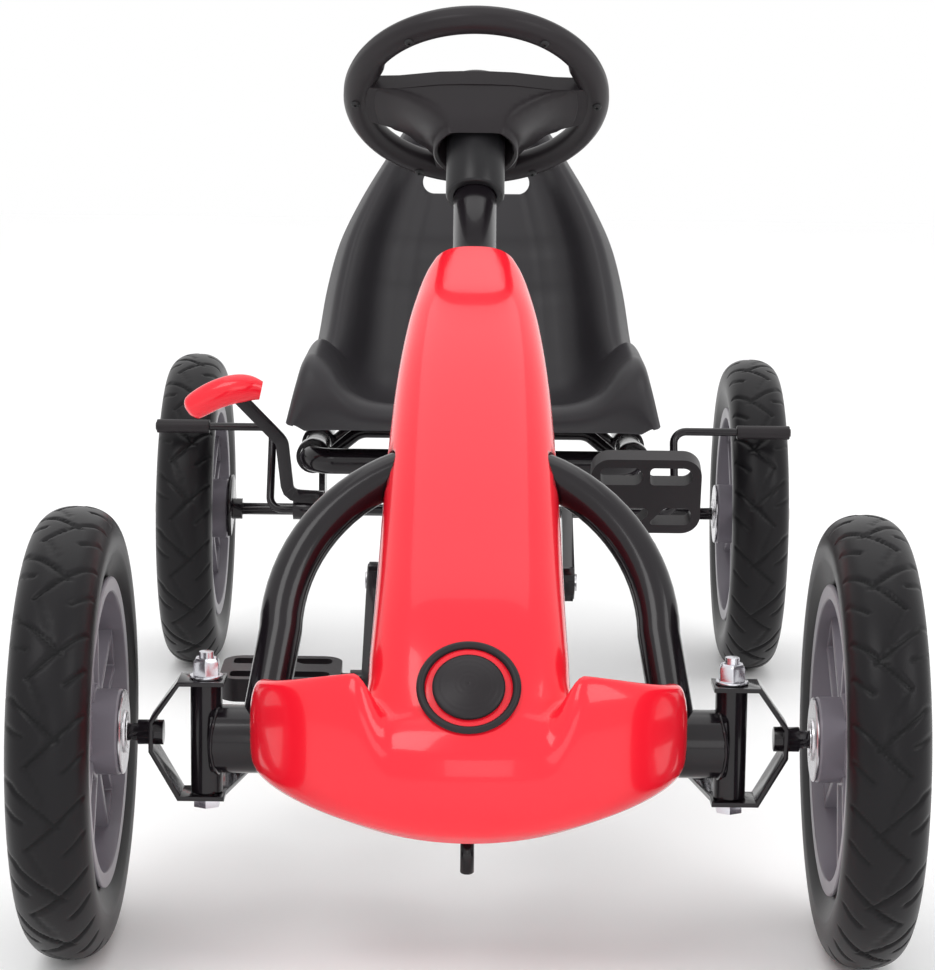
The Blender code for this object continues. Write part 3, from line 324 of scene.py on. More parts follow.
# tread cuts in one pitch, as shares of the pitch and places across, from start to end
treadCuts = [
    ((0.02, 0.011), (0.30, -0.006), (0.62, -0.024), 1.0),
    ((0.30, -0.010), (0.52, 0.004), (0.72, 0.017), 0.9),
    ((0.95, -0.013), (1.05, -0.019), (1.16, -0.024), 0.9),
    ((0.36, 0.013), (0.40, 0.018), (0.50, 0.0245), 0.8),
    ((0.72, 0.017), (0.80, 0.020), (0.86, 0.0255), 0.9),
    ((0.30, -0.003), (0.62, -0.001), (1.02, 0.010), 0.35),
]


def treadDepths(around, across, side):
    pitch = 2 * math.pi * tyre["radius"] / tyre["pitches"]
    s = (around * tyre["radius"]) % pitch
    depth = np.zeros_like(s)
    for *spots, strength in treadCuts:
        for (s0, x0), (s1, x1) in zip(spots, spots[1:]):
            for wrap in (-1, 0, 1):
                ax, ay = (s0 + wrap) * pitch, x0 * side
                bx, by = (s1 + wrap) * pitch, x1 * side
                length = (bx - ax) ** 2 + (by - ay) ** 2
                t = np.clip(((s - ax) * (bx - ax) + (across - ay) * (by - ay)) / length, 0, 1)
                gap = np.hypot(s - ax - t * (bx - ax), across - ay - t * (by - ay))
                depth = np.maximum(depth, strength * np.exp(-((gap / tyre["grooveWidth"]) ** 4)))
    return depth


def makeTyre(name, standsFor, centre, side):
    half, mid = tyre["width"] / 2, (tyre["radius"] + tyre["lipRadius"]) / 2
    arc = []
    for i in range(53):
        a = math.radians(-112 + 224 * i / 52)
        x = half * math.copysign(abs(math.sin(a)) ** 0.86, a)
        r = mid + (tyre["radius"] - mid) * math.copysign(abs(math.cos(a)) ** 0.92, math.cos(a))
        arc.append((x, r))
    seat, bead, lip = tyre["beadHalfWidth"], tyre["bead"], tyre["lipRadius"]
    outline = [(-seat, bead), (-seat, lip - 0.001), (-seat - 0.0012, lip)] + arc
    outline += [(seat + 0.0012, lip), (seat, lip - 0.001), (seat, bead)]
    xs = np.array([p[0] for p in outline])
    rs = np.array([p[1] for p in outline])
    around = np.linspace(0, 2 * math.pi, tyre["aroundSteps"], endpoint=False)
    gridA, gridX = np.meshgrid(around, xs, indexing="ij")
    gridR = np.tile(rs, (len(around), 1))
    onTread = gridR > mid
    depth = treadDepths(gridA, gridX, side) * onTread
    slope = np.clip((np.abs(gridX) / half), 0, 1)
    gridR = gridR - depth * tyre["grooveDepth"] * (1 - 0.4 * slope)
    # two raised lines on each side wall
    for radius in (0.118, 0.1235):
        wall = np.exp(-(((gridR - radius) / 0.0008) ** 2)) * (~onTread)
        gridX = gridX + np.sign(gridX) * wall * 0.0005
    x = centre[0] + gridX
    y = centre[1] + gridR * np.sin(gridA)
    z = centre[2] + gridR * np.cos(gridA)
    points = np.stack([x, y, z], axis=-1).reshape(-1, 3)
    n, m = gridA.shape
    i, j = np.meshgrid(np.arange(n), np.arange(m), indexing="ij")
    a = i * m + j
    b = i * m + (j + 1) % m
    c = (i + 1) % n * m + (j + 1) % m
    d = (i + 1) % n * m + j
    faces = np.stack([a, d, c, b], axis=-1).reshape(-1, 4)
    mesh = bpy.data.meshes.new(name)
    mesh.from_pydata(points.tolist(), [], faces.tolist())
    # the tread depth is kept on the mesh as the mask for the painted shade in the grooves
    grooveShadeMask = mesh.attributes.new("paintedGrooveShade", "FLOAT", "POINT")
    grooveShadeMask.data.foreach_set("value", depth.reshape(-1).astype(np.float32) * 0.8)
    work = bmesh.new()
    work.from_mesh(mesh)
    bmesh.ops.recalc_face_normals(work, faces=work.faces)
    work.to_mesh(mesh)
    work.free()
    mesh.shade_smooth()
    return claim(addPiece(name, mesh, standsFor), standsFor)


rim = {
    "halfWidth": 0.0232,
    "well": 0.101,
    "inside": 0.0965,
    "lip": 0.107,
    "hubRadius": 0.0295,
    "hubHalf": 0.032,
    "bore": 0.014,
    "spokes": 5,
    "spokeDepth": 0.030,
    "rootWidth": 0.030,
    "tipWidth": 0.037,
    "pocketDepth": 0.007,
}


def makeSpoke(angle):
    work = bmesh.new()
    root, tip, deep = rim["hubRadius"] - 0.004, rim["inside"] + 0.002, rim["spokeDepth"] / 2
    corners = []
    for r, width in ((root, rim["rootWidth"]), (tip, rim["tipWidth"])):
        for x, y in ((-deep, -width / 2), (deep, -width / 2), (deep, width / 2), (-deep, width / 2)):
            corners.append(work.verts.new((x, y, r)))
    quads = [(0, 1, 5, 4), (1, 2, 6, 5), (2, 3, 7, 6), (3, 0, 4, 7), (3, 2, 1, 0), (4, 5, 6, 7)]
    made = [work.faces.new([corners[k] for k in quad]) for quad in quads]
    bmesh.ops.recalc_face_normals(work, faces=work.faces)
    wide = [face for face in made if abs(face.normal.x) > 0.9]
    for face in wide:
        way = face.normal.copy()
        bmesh.ops.inset_individual(work, faces=[face], thickness=0.0075)
        bmesh.ops.inset_individual(work, faces=[face], thickness=0.0015)
        bmesh.ops.translate(work, verts=face.verts, vec=-way * rim["pocketDepth"])
    turn = Matrix.Rotation(angle, 4, "X")
    bmesh.ops.transform(work, matrix=turn, verts=work.verts)
    points = [v.co.copy() for v in work.verts]
    work.verts.index_update()
    faces = [tuple(v.index for v in f.verts) for f in work.faces]
    work.free()
    return points, faces


def makeRim(name, standsFor, centre, phase):
    half, well, inside, lip = rim["halfWidth"], rim["well"], rim["inside"], rim["lip"]
    section = [(-half, inside), (-half - 0.0004, lip - 0.001), (-half + 0.0008, lip),
        (-half + 0.0028, lip - 0.0006)]
    section += [(-half + 0.0036, well + 0.0006), (-half + 0.0052, well)]
    barrel = section + [(-x, r) for x, r in section[::-1]]
    barrel.append((half - 0.002, inside - 0.0004))
    barrel += [(0.002, inside - 0.0016), (-0.002, inside - 0.0016), (-half + 0.002, inside - 0.0004)]
    hub, bore, length = rim["hubRadius"], rim["bore"], rim["hubHalf"]
    drum = [(-length, bore), (-length, hub - 0.0012), (-length + 0.0012, hub), (length - 0.0012, hub)]
    drum += [(length, hub - 0.0012), (length, bore)]
    turns = [phase + 2 * math.pi * i / rim["spokes"] for i in range(rim["spokes"])]
    shape = joined(lathe(barrel, 128), lathe(drum, 72), *[makeSpoke(a) for a in turns])
    mesh = toMesh(name, *shifted(shape, centre), smoothAngle=34)
    piece = addPiece(name, mesh, standsFor)
    return claim(softEdges(piece, 0.0009, 2, 42), standsFor)


def makeBearing(name, standsFor, centre, side):
    face = rim["hubHalf"] + 0.0003
    profile = [(face - 0.009, 0.0064), (face - 0.009, 0.0134), (face, 0.0136), (face, 0.0286),
        (face + 0.0009, 0.0290)]
    profile += [(face + 0.0016, 0.0284), (face + 0.0017, 0.0150), (face + 0.0030, 0.0146),
        (face + 0.0034, 0.0138)]
    profile += [(face + 0.0034, 0.0112), (face + 0.0024, 0.0108), (face + 0.0024, 0.0084),
        (face + 0.0036, 0.0080)]
    profile += [(face + 0.0036, 0.0064)]
    return standIn(name, shifted(lathe([(side * x, r) for x, r in profile], 72), centre), standsFor)


def makeCap(name, standsFor, centre, side, reach):
    profile = [(reach, 0.0064), (reach, 0.0103), (reach + 0.0006, 0.0107), (reach + 0.0040, 0.0105)]
    for i in range(7):
        a = math.radians(15 + 73 * i / 6)
        profile.append((reach + 0.0040 + 0.0030 * math.sin(a), 0.0105 * math.cos(a) + 0.0002))
    profile += [(reach + 0.0055, 0.0002), (reach + 0.0040, 0.0064)]
    return standIn(name, shifted(lathe([(side * x, r) for x, r in profile], 48), centre), standsFor, 50)


wheels = {
    "front_left": (kart["frontHalfTrack"], kart["frontAxleY"], 1, 0.35),
    "front_right": (-kart["frontHalfTrack"], kart["frontAxleY"], -1, 0.10),
    "rear_left": (kart["rearHalfTrack"], kart["rearAxleY"], 1, 0.55),
    "rear_right": (-kart["rearHalfTrack"], kart["rearAxleY"], -1, 0.2),
}
for prefix, (x, y, side, phase) in wheels.items():
    centre = (x, y, kart["axleHeight"])
    makeTyre(f"{prefix}_treaded_tyre", f"{prefix}_tyre", centre, side)
    makeRim(f"{prefix}_spoked_rim", f"{prefix}_rim", centre, phase)
    if prefix != "rear_right":
        makeBearing(f"{prefix}_hub_plate_in", f"{prefix}_inner_bearing", centre, -side)
        makeBearing(f"{prefix}_hub_plate_out", f"{prefix}_outer_bearing", centre, side)
    makeCap(f"{prefix}_cap", f"{prefix}_axle_cap", centre, side, rim["hubHalf"] + 0.0036)
print("wheels made")

# Frame tubes
tubes = {
    "beamDiameter": 0.047,
    "kingpinHalf": 0.180,
    "barrelRadius": 0.011,
    "barrelLow": 0.1138,
    "barrelHigh": 0.1903,
    "hoopDiameter": 0.030,
    "hoopHalf": 0.1315,
    "hoopFootHalf": 0.14075,
    "hoopLeg": 0.062,
    "hoopHeight": 0.193,
    "hoopLean": math.radians(32),
    "mainDiameter": 0.038,
    "railDiameter": 0.024,
    "railHalf": 0.150,
    "railHeight": 0.235,
    "crossbarY": 0.252,
    "archDiameter": 0.012,
    "archPlaces": (0.288, 0.374),
}


def mainTubeHeight(y):
    (y0, z0), (y1, z1) = (kart["frontAxleY"], kart["axleHeight"]), kart["crankPlace"]
    return z0 + (y - y0) * (z1 - z0) / (y1 - y0)


def ringOutline(half, radius, wall):
    return [(-half, radius - wall), (-half, radius), (half, radius), (half, radius - wall)]


def makeFrontAxle():
    y, half, radius = kart["frontAxleY"], tubes["kingpinHalf"], tubes["beamDiameter"] / 2
    shapes = [shifted(lathe(ringOutline(half - 0.004, radius, 0.002), 64), (0, y, kart["beamHeight"]))]
    for side in (-1, 1):
        low, high, r = tubes["barrelLow"], tubes["barrelHigh"], tubes["barrelRadius"]
        barrel = [(low, 0.0054), (low, r - 0.0005), (low + 0.0005, r), (high - 0.0005, r), (high, r - 0.0005)]
        barrel.append((high, 0.0054))
        shapes.append(shifted(lathe(barrel, 40, along="Z"), (side * half, y, 0)))
        # weld bead where the barrel passes through the beam's end
        bead = []
        for i in range(40):
            a = 2 * math.pi * i / 40
            x = side * (half - 0.0045 - 0.004 * math.cos(a) ** 2)
            bead.append(Vector((x, y + (radius + 0.0003) * math.sin(a),
                kart["beamHeight"] + (radius + 0.0003) * math.cos(a))))
        rings = []
        for i, spot in enumerate(bead):
            out = Vector((0, spot.y - y, spot.z - kart["beamHeight"])).normalized()
            wide = 0.0013 * (1 + 0.18 * math.sin(i * 2.1))
            rings.append([spot + (out * math.cos(b) + Vector((1, 0,
                0)) * math.sin(b)) * wide for b in (2 * math.pi * k / 8 for k in range(8))])
        shapes.append(skin(rings, closed=True))
    standIn("axle_beam", joined(*shapes), "front_axle")


def hoopPath(steps=40):
    flat = [(tubes["hoopFootHalf"], -0.004)]
    for i in range(steps + 1):
        a = math.pi * i / steps
        rise = (tubes["hoopHeight"] - tubes["hoopLeg"]) * math.sin(a)
        flat.append((tubes["hoopHalf"] * math.cos(a), tubes["hoopLeg"] + rise))
    flat.append((-tubes["hoopFootHalf"], -0.004))
    lean, base = tubes["hoopLean"], kart["axleHeight"] + 0.0125
    return [Vector((x, kart["frontAxleY"] + h * math.sin(lean), base + h * math.cos(lean))) for x, h in flat]


def makeFrame():
    claim(addPiece("front_hoop", toMesh("front_hoop", *tube(hoopPath(), tubes["hoopDiameter"], 40)),
        "hoop"), "hoop")
    start, end = kart["frontAxleY"] + 0.018, tubes["crossbarY"] - 0.013
    backbone = tube([(0, y, mainTubeHeight(y)) for y in (start, end)], tubes["mainDiameter"], 48, wall=0.002)
    shellRing = [(-0.032, 0.0125), (-0.032, 0.0205), (-0.0315, 0.021), (0.0315, 0.021), (0.032, 0.0205),
        (0.032, 0.0125)]
    shellRing += [(0.030, 0.0082), (-0.030, 0.0082)]
    crankShell = lathe(shellRing, 56, (0, *kart["crankPlace"]))
    standIn("backbone_tube", joined(backbone, crankShell), "main_tube")

    half, high, end = tubes["railHalf"], tubes["railHeight"], kart["rearAxleY"] + 0.045
    corners = [(half, end, high), (half, tubes["crossbarY"], high), (-half, tubes["crossbarY"], high),
        (-half, end, high)]
    rails = tube(smoothed(corners, 0.022, 10), tubes["railDiameter"], 36, wall=0.002)
    shapes = [rails]
    for side in (-1, 1):
        outline = bracketOutline()
        low, top = side * half - 0.003, side * half + 0.003
        shapes.append(ringPlate(outline, 0.0142, (kart["rearAxleY"], kart["axleHeight"]), low, top))
    standIn("rear_rails", joined(*shapes), "rear_frame", 30)

    jacket = lathe([(-0.372, 0.015), (-0.372, 0.017), (0.0742, 0.017), (0.075, 0.0165), (0.075, 0.015)],
        56, along="column")
    apex = max(hoopPath(), key=lambda p: p.z)
    corners = [apex + Vector((0, 0.010, -0.010)), onColumn(-0.120), onColumn(-0.195),
        apex + Vector((0, 0.006, -0.024))]
    stay = skin([[p + Vector((x, 0, 0)) for p in corners] for x in (-0.002, 0.002)])
    standIn("column_jacket", joined(jacket, stay), "column_tube")


def bracketOutline():
    y, z, high = kart["rearAxleY"], kart["axleHeight"], tubes["railHeight"]
    return [(y - 0.020, high - 0.0115), (y + 0.020, high - 0.0115), (y + 0.024, z), (y + 0.014, z - 0.021),
            (y - 0.014, z - 0.021), (y - 0.024, z)]


def outlineReach(outline, centre, way):
    best = None
    for (ax, ay), (bx, by) in zip(outline, outline[1:] + outline[:1]):
        ex, ey = bx - ax, by - ay
        det = way[0] * ey - way[1] * ex
        if abs(det) < 1e-12:
            continue
        t = ((ax - centre[0]) * ey - (ay - centre[1]) * ex) / det
        u = ((ax - centre[0]) * way[1] - (ay - centre[1]) * way[0]) / det
        if t > 0 and -1e-6 <= u <= 1 + 1e-6 and (best is None or t < best):
            best = t
    return best


def ringPlate(outline, holeRadius, centre, low, high, steps=48):
    outer, inner = [], []
    for i in range(steps):
        a = 2 * math.pi * i / steps
        way = (math.cos(a), math.sin(a))
        reach = outlineReach(outline, centre, way)
        outer.append((centre[0] + way[0] * reach, centre[1] + way[1] * reach))
        inner.append((centre[0] + way[0] * holeRadius, centre[1] + way[1] * holeRadius))
    rings = [[Vector((x, *p)) for p in ring] for x, ring in ((low, inner), (low, outer), (high, outer),
        (high, inner))]
    across = list(map(list, zip(*rings)))
    return skin(across, closed=True)


makeFrontAxle()
makeFrame()
print("frame tubes made")


# Repeated pieces come from one tree: a unit on every spot, turned by the spot's own angles
def repeatTree():
    tree = bpy.data.node_groups.new("repeatOnSpots", "GeometryNodeTree")
    face = tree.interface
    face.new_socket("Geometry", in_out="INPUT", socket_type="NodeSocketGeometry")
    face.new_socket("Unit", in_out="INPUT", socket_type="NodeSocketObject")
    face.new_socket("Unit size", in_out="INPUT", socket_type="NodeSocketFloat").default_value = 1.0
    face.new_socket("Finish", in_out="INPUT", socket_type="NodeSocketMaterial")
    face.new_socket("Geometry", in_out="OUTPUT", socket_type="NodeSocketGeometry")
    entry, leave = tree.nodes.new("NodeGroupInput"), tree.nodes.new("NodeGroupOutput")
    unit = tree.nodes.new("GeometryNodeObjectInfo")
    place = tree.nodes.new("GeometryNodeInstanceOnPoints")
    turn = tree.nodes.new("GeometryNodeInputNamedAttribute")
    turn.data_type = "FLOAT_VECTOR"
    turn.inputs["Name"].default_value = "turn"
    euler = tree.nodes.new("FunctionNodeEulerToRotation")
    real = tree.nodes.new("GeometryNodeRealizeInstances")
    finish = tree.nodes.new("GeometryNodeSetMaterial")
    links = tree.links
    links.new(entry.outputs["Unit"], unit.inputs["Object"])
    links.new(entry.outputs["Geometry"], place.inputs["Points"])
    links.new(unit.outputs["Geometry"], place.inputs["Instance"])
    links.new(turn.outputs["Attribute"], euler.inputs["Euler"])
    links.new(euler.outputs["Rotation"], place.inputs["Rotation"])
    links.new(entry.outputs["Unit size"], place.inputs["Scale"])
    links.new(place.outputs["Instances"], real.inputs["Geometry"])
    links.new(real.outputs["Geometry"], finish.inputs["Geometry"])
    links.new(entry.outputs["Finish"], finish.inputs["Material"])
    links.new(finish.outputs["Geometry"], leave.inputs["Geometry"])
    return tree


repeatOnSpots = repeatTree()


def repeated(name, unit, spots, finish, size=1.0):
    unitObject = bpy.data.objects.new(name + "_unit", toMesh(name + "_unit", *unit, smoothAngle=40))
    cloud = bpy.data.meshes.new(name + "_spots")
    cloud.from_pydata([tuple(place) for place, _ in spots], [], [])
    turns = cloud.attributes.new("turn", "FLOAT_VECTOR", "POINT")
    turns.data.foreach_set("vector", [angle for _, turn in spots for angle in turn])
    holder = bpy.data.objects.new(name + "_holder", cloud)
    for made in (unitObject, holder):
        bpy.context.scene.collection.objects.link(made)
    modifier = holder.modifiers.new("repeat", "NODES")
    modifier.node_group = repeatOnSpots
    values = {"Unit": unitObject, "Unit size": size, "Finish": finishes[finish]}
    for socket in repeatOnSpots.interface.items_tree:
        if socket.in_out == "INPUT" and socket.name in values:
            modifier[socket.identifier] = values[socket.name]
    bpy.context.view_layer.update()
    mesh = bpy.data.meshes.new_from_object(holder.evaluated_get(bpy.context.evaluated_depsgraph_get()))
    for made in (unitObject, holder):
        bpy.data.objects.remove(made)
    mesh.name = name
    return mesh


def blended(rows, parts):
    dense = []
    rows = [np.array(row, float) for row in rows]
    for i in range(len(rows) - 1):
        a, b, c, d = rows[max(i - 1, 0)], rows[i], rows[i + 1], rows[min(i + 2, len(rows) - 1)]
        for k in range(parts):
            t = k / parts
            square, cube = 2 * a - 5 * b + 4 * c - d, 3 * b - a - 3 * c + d
            dense.append(0.5 * (2 * b + (c - a) * t + square * t**2 + cube * t**3))
    dense.append(rows[-1])
    return dense


def sheetShell(surface, wall):
    grid = np.array([[tuple(p) for p in line] for line in surface])
    along = np.gradient(grid, axis=0)
    across = np.gradient(grid, axis=1)
    normal = np.cross(across, along)
    normal /= np.maximum(np.linalg.norm(normal, axis=2, keepdims=True), 1e-12)
    behind = grid - normal * wall
    n, m = grid.shape[:2]
    points = np.concatenate([grid.reshape(-1, 3), behind.reshape(-1, 3)])
    count = n * m
    faces = []
    for i in range(n - 1):
        for j in range(m - 1):
            a = i * m + j
            quad = (a, a + 1, a + m + 1, a + m)
            faces += [quad, tuple(k + count for k in quad[::-1])]
    edge = list(range(m)) + [i * m + m - 1 for i in range(1, n)]
    edge += [(n - 1) * m + j for j in range(m - 2, -1, -1)] + [i * m for i in range(n - 2, 0, -1)]
    faces += [(a, b, b + count, a + count) for a, b in zip(edge, edge[1:] + edge[:1])]
    return points, faces


def cutWith(piece, shape):
    cutter = bpy.data.objects.new("cutter", toMesh("cutter", *shape))
    bpy.context.scene.collection.objects.link(cutter)
    modifier = piece.modifiers.new("cut", "BOOLEAN")
    modifier.operation, modifier.object = "DIFFERENCE", cutter
    bpy.context.view_layer.update()
    mesh = bpy.data.meshes.new_from_object(piece.evaluated_get(bpy.context.evaluated_depsgraph_get()))
    piece.modifiers.remove(modifier)
    piece.data = mesh
    bpy.data.objects.remove(cutter)


# Red fairing: a ramp from the column's top that opens into a bumper wing
fairing = {
    "wall": 0.003,
    "top": (-0.154, 0.468),
    "nose": (-0.566, 0.148),
    "rowSteps": 6,
    "acrossSteps": 96,
    "badgePlace": (-0.5312, 0.2078),
    "badgeSlope": math.radians(48),
    "badgeRadius": 0.0345,
}
fairingRows = [  # share of the length and height, half width, depth, squareness, bow, rise of the ends
    (-0.000, 1.000, 0.0345, 0.030, 2.6, 0.0, 0.000),
    (0.029, 0.982, 0.0400, 0.036, 2.7, 0.0, 0.000),
    (0.083, 0.950, 0.0455, 0.042, 2.8, 0.0, 0.000),
    (0.172, 0.895, 0.0510, 0.048, 3.2, 0.0, 0.000),
    (0.306, 0.800, 0.0565, 0.050, 3.4, 0.0, 0.000),
    (0.439, 0.694, 0.0600, 0.050, 3.4, 0.0, 0.000),
    (0.573, 0.575, 0.0625, 0.050, 3.4, 0.0, 0.000),
    (0.706, 0.444, 0.0645, 0.050, 3.4, 0.0, 0.000),
    (0.791, 0.355, 0.0660, 0.050, 3.4, 0.0, 0.000),
    (0.850, 0.281, 0.0675, 0.048, 3.2, 0.0, 0.000),
    (0.893, 0.219, 0.0690, 0.046, 3.0, 0.0, 0.000),
    (0.937, 0.156, 0.0760, 0.050, 2.6, 0.1, 0.020),
    (0.955, 0.130, 0.1180, 0.060, 2.2, 0.4, 0.034),
    (0.976, 0.097, 0.1380, 0.070, 2.2, 0.8, 0.031),
    (0.993, 0.056, 0.1460, 0.078, 2.2, 1.0, 0.025),
    (1.000, 0.000, 0.1475, 0.082, 2.2, 1.0, 0.016),
    (0.995, -0.056, 0.1455, 0.082, 2.2, 1.0, 0.013),
    (0.976, -0.103, 0.1350, 0.080, 2.2, 1.0, 0.015),
    (0.947, -0.131, 0.1150, 0.070, 2.2, 1.0, 0.016),
]


def fairingSurface():
    (y0, z0), (y1, z1) = fairing["top"], fairing["nose"]
    rows = blended(fairingRows, fairing["rowSteps"])
    surface = []
    ys = [y0 + (y1 - y0) * row[0] for row in rows]
    zs = [z1 + (z0 - z1) * row[1] for row in rows]
    for i, (_, _, half, depth, square, bow, rise) in enumerate(rows):
        a, b = max(i - 3, 0), min(i + 3, len(rows) - 1)
        along = Vector((0, ys[b] - ys[a], zs[b] - zs[a])).normalized()
        inward = Vector((0, -along.z, along.y))
        inward = (inward if inward.y > 0 else -inward).lerp(Vector((0, 1, 0)),
            min(1, max(0, bow))).normalized()
        line = []
        for j in range(fairing["acrossSteps"] + 1):
            angle = math.pi * (j / fairing["acrossSteps"] - 0.5)
            across = math.copysign(abs(math.sin(angle)) ** (2 / square), math.sin(angle))
            deep = 1 - abs(math.cos(angle)) ** (2 / square)
            back = depth * (deep * (1 - 0.35 * bow) + 0.35 * bow * across**2)
            beside = min(1, max(0, (abs(half * across) - 0.050) / 0.026))
            beside = beside * beside * (3 - 2 * beside)
            share = min(1, max(0, (zs[i] - 0.140) / 0.020))
            lift = rise * (beside * share + across**2 * (1 - share))
            line.append(Vector((half * across, ys[i], zs[i] + lift)) + inward * back)
        surface.append(line)
    return surface


def makeFairing():
    points, faces = sheetShell(fairingSurface(), -fairing["wall"])
    mesh = toMesh("nose_fairing", points, faces, smoothAngle=50)
    piece = addPiece("nose_fairing", mesh, "front_fairing")
    cutWith(piece, tube(hoopPath(24), tubes["hoopDiameter"] + 0.003, 24))
    claim(piece, "front_fairing")

    slope = fairing["badgeSlope"]
    outward = Vector((0, -math.sin(slope), math.cos(slope)))
    turn = Vector((1, 0, 0)).rotation_difference(outward).to_matrix().to_4x4()
    spot = Vector((0, *fairing["badgePlace"])) + outward * 0.0008

    def placed(shape):
        return [Matrix.Translation(spot) @ turn @ Vector(p) for p in shape[0]], shape[1]

    r = fairing["badgeRadius"]
    ring = [(0, r - 0.0056), (0, r - 0.0004), (0.0008, r), (0.0022, r - 0.0010), (0.0030, r - 0.0026)]
    ring += [(0.0022, r - 0.0044), (0.0008, r - 0.0056)]
    core = r - 0.0105
    dome = [(0.0004, 0.0002), (0.0004, core), (0.0016, core)]
    for i in range(1, 15):
        q = i / 14
        dome.append((0.0016 + 0.0042 * (1 - (1 - q) ** 2) + 0.0005 * math.sin(math.pi * 6 * q) ** 2,
            core * (1 - q) + 0.0002))
    standIn("round_ornament", placed(joined(lathe(ring, 96), lathe(dome, 72))), "badge", 60)


makeFairing()
print("fairing made")

# Seat
seat = {
    "front": 0.200,
    "halfWidth": 0.171,
    "base": 0.2725,
    "wall": 0.0042,
    "rowSteps": 6,
    "panelDepth": 0.0028,
    "creases": (0.3725, 0.4175),
    "slotHeight": 0.480,
    "slotHalf": 0.042,
    "slotRadius": 0.0115,
}
seatRows = [  # distance back, height, share of the half width, bolster, skirt, lean
    (0.008, -0.002, 0.90, 0.000, 0.001, 0.0),
    (0.000, 0.005, 0.95, 0.012, 0.014, 0.0),
    (0.001, 0.014, 0.98, 0.025, 0.036, 0.0),
    (0.010, 0.021, 1.00, 0.035, 0.052, 0.0),
    (0.026, 0.021, 1.00, 0.043, 0.060, 0.0),
    (0.050, 0.015, 1.00, 0.050, 0.062, 0.0),
    (0.100, 0.006, 1.00, 0.059, 0.062, 0.0),
    (0.155, 0.001, 1.00, 0.064, 0.062, 0.1),
    (0.205, 0.004, 0.98, 0.064, 0.060, 0.4),
    (0.238, 0.022, 0.94, 0.060, 0.052, 0.8),
    (0.258, 0.058, 0.90, 0.054, 0.044, 1.0),
    (0.275, 0.100, 0.86, 0.047, 0.036, 1.0),
    (0.290, 0.145, 0.79, 0.041, 0.030, 1.0),
    (0.305, 0.188, 0.67, 0.034, 0.024, 1.0),
    (0.320, 0.228, 0.53, 0.026, 0.018, 1.0),
    (0.333, 0.258, 0.42, 0.016, 0.012, 1.0),
    (0.341, 0.275, 0.31, 0.008, 0.008, 1.0),
]
seatSection = [  # share of the half width, of the bolster's rise and of the skirt's fall
    (0.00, 0.00, 0.00),
    (0.26, 0.00, 0.00),
    (0.50, 0.02, 0.00),
    (0.66, 0.26, 0.00),
    (0.77, 0.78, 0.00),
    (0.85, 1.00, 0.00),
    (0.91, 1.00, 0.08),
    (0.95, 1.00, 0.40),
    (1.00, 1.00, 1.00),
]


def seatSurface():
    half = blended(seatSection, 6)
    section = [(-x, rise, fall) for x, rise, fall in half[:0:-1]] + [tuple(p) for p in half]
    slope = Vector((0, 0.30, 0.95)).normalized()
    forward = Vector((0, -slope.z, slope.y))
    surface = []
    for y, z, share, bolster, skirt, lean in blended(seatRows, seat["rowSteps"]):
        lean = min(1, max(0, lean))
        up = Vector((0, 0, 1)).lerp(forward, lean).normalized()
        height = seat["base"] + z
        crease = sum(math.exp(-(((height - c) / 0.0022) ** 2)) for c in seat["creases"]) * lean
        inPanel = min(1, max(0, (y - 0.030) / 0.03)) * min(1, max(0, (0.285 - z) / 0.03))
        line = []
        for x, rise, fall in section:
            edge = min(1, max(0, (0.50 - abs(x)) / 0.07))
            edge = edge * edge * (3 - 2 * edge)
            sunk = edge * inPanel * seat["panelDepth"] + 0.0012 * crease * min(1,
                max(0, (0.82 - abs(x)) / 0.1))
            point = Vector((seat["halfWidth"] * share * x, seat["front"] + y, height))
            line.append(point + up * (bolster * rise - skirt * fall - sunk))
        surface.append(line)
    return surface


def makeSeat():
    points, faces = sheetShell(seatSurface(), seat["wall"])
    piece = addPiece("bucket_seat", toMesh("bucket_seat", points, faces, smoothAngle=50), "seat")
    hole = []
    for i in range(40):
        a = 2 * math.pi * i / 40
        shift = seat["slotHalf"] if math.cos(a) > 0 else -seat["slotHalf"]
        hole.append((shift + seat["slotRadius"] * math.cos(a),
            seat["slotHeight"] + seat["slotRadius"] * math.sin(a)))
    cutWith(piece, skin([[Vector((x, y, z)) for x, z in hole] for y in (0.42, 0.60)]))
    claim(piece, "seat")
    for word, place in zip(("front", "rear"), tubes["archPlaces"]):
        foot, top = tubes["railHalf"] - 0.015, 0.258
        corners = [(foot, place, tubes["railHeight"]), (foot - 0.028, place, top)]
        corners += [(-x, y, z) for x, y, z in corners[::-1]]
        arch = tube(smoothed(corners, 0.020, 8), tubes["archDiameter"], 28)
        clamps = []
        for x in (-tubes["railHalf"], tubes["railHalf"]):
            band = [(-0.009, 0.0124), (-0.009, 0.0156), (-0.0084, 0.016), (0.0084, 0.016), (0.009, 0.0156),
                    (0.009, 0.0124)]
            rings = []
            for i in range(40):
                a = 2 * math.pi * i / 40
                rings.append([Vector((x + r * math.cos(a), place + y,
                    tubes["railHeight"] + r * math.sin(a))) for y, r in band])
            clamps.append(skin(rings, closed=True))
        standIn(f"{word}_arch", joined(arch, *clamps), f"{word}_seat_arch")


makeSeat()
print("seat made")


def roundedOutline(points, radius, steps=6):
    points = [Vector((*p, 0)) for p in points]
    middle = (points[0] + points[-1]) / 2
    return [(p.x, p.y) for p in smoothed([middle] + points + [middle], radius, steps)[:-1]]


def plate(outline, low, high):
    return skin([[Vector((x, y, z)) for y, z in outline] for x in (low, high)])


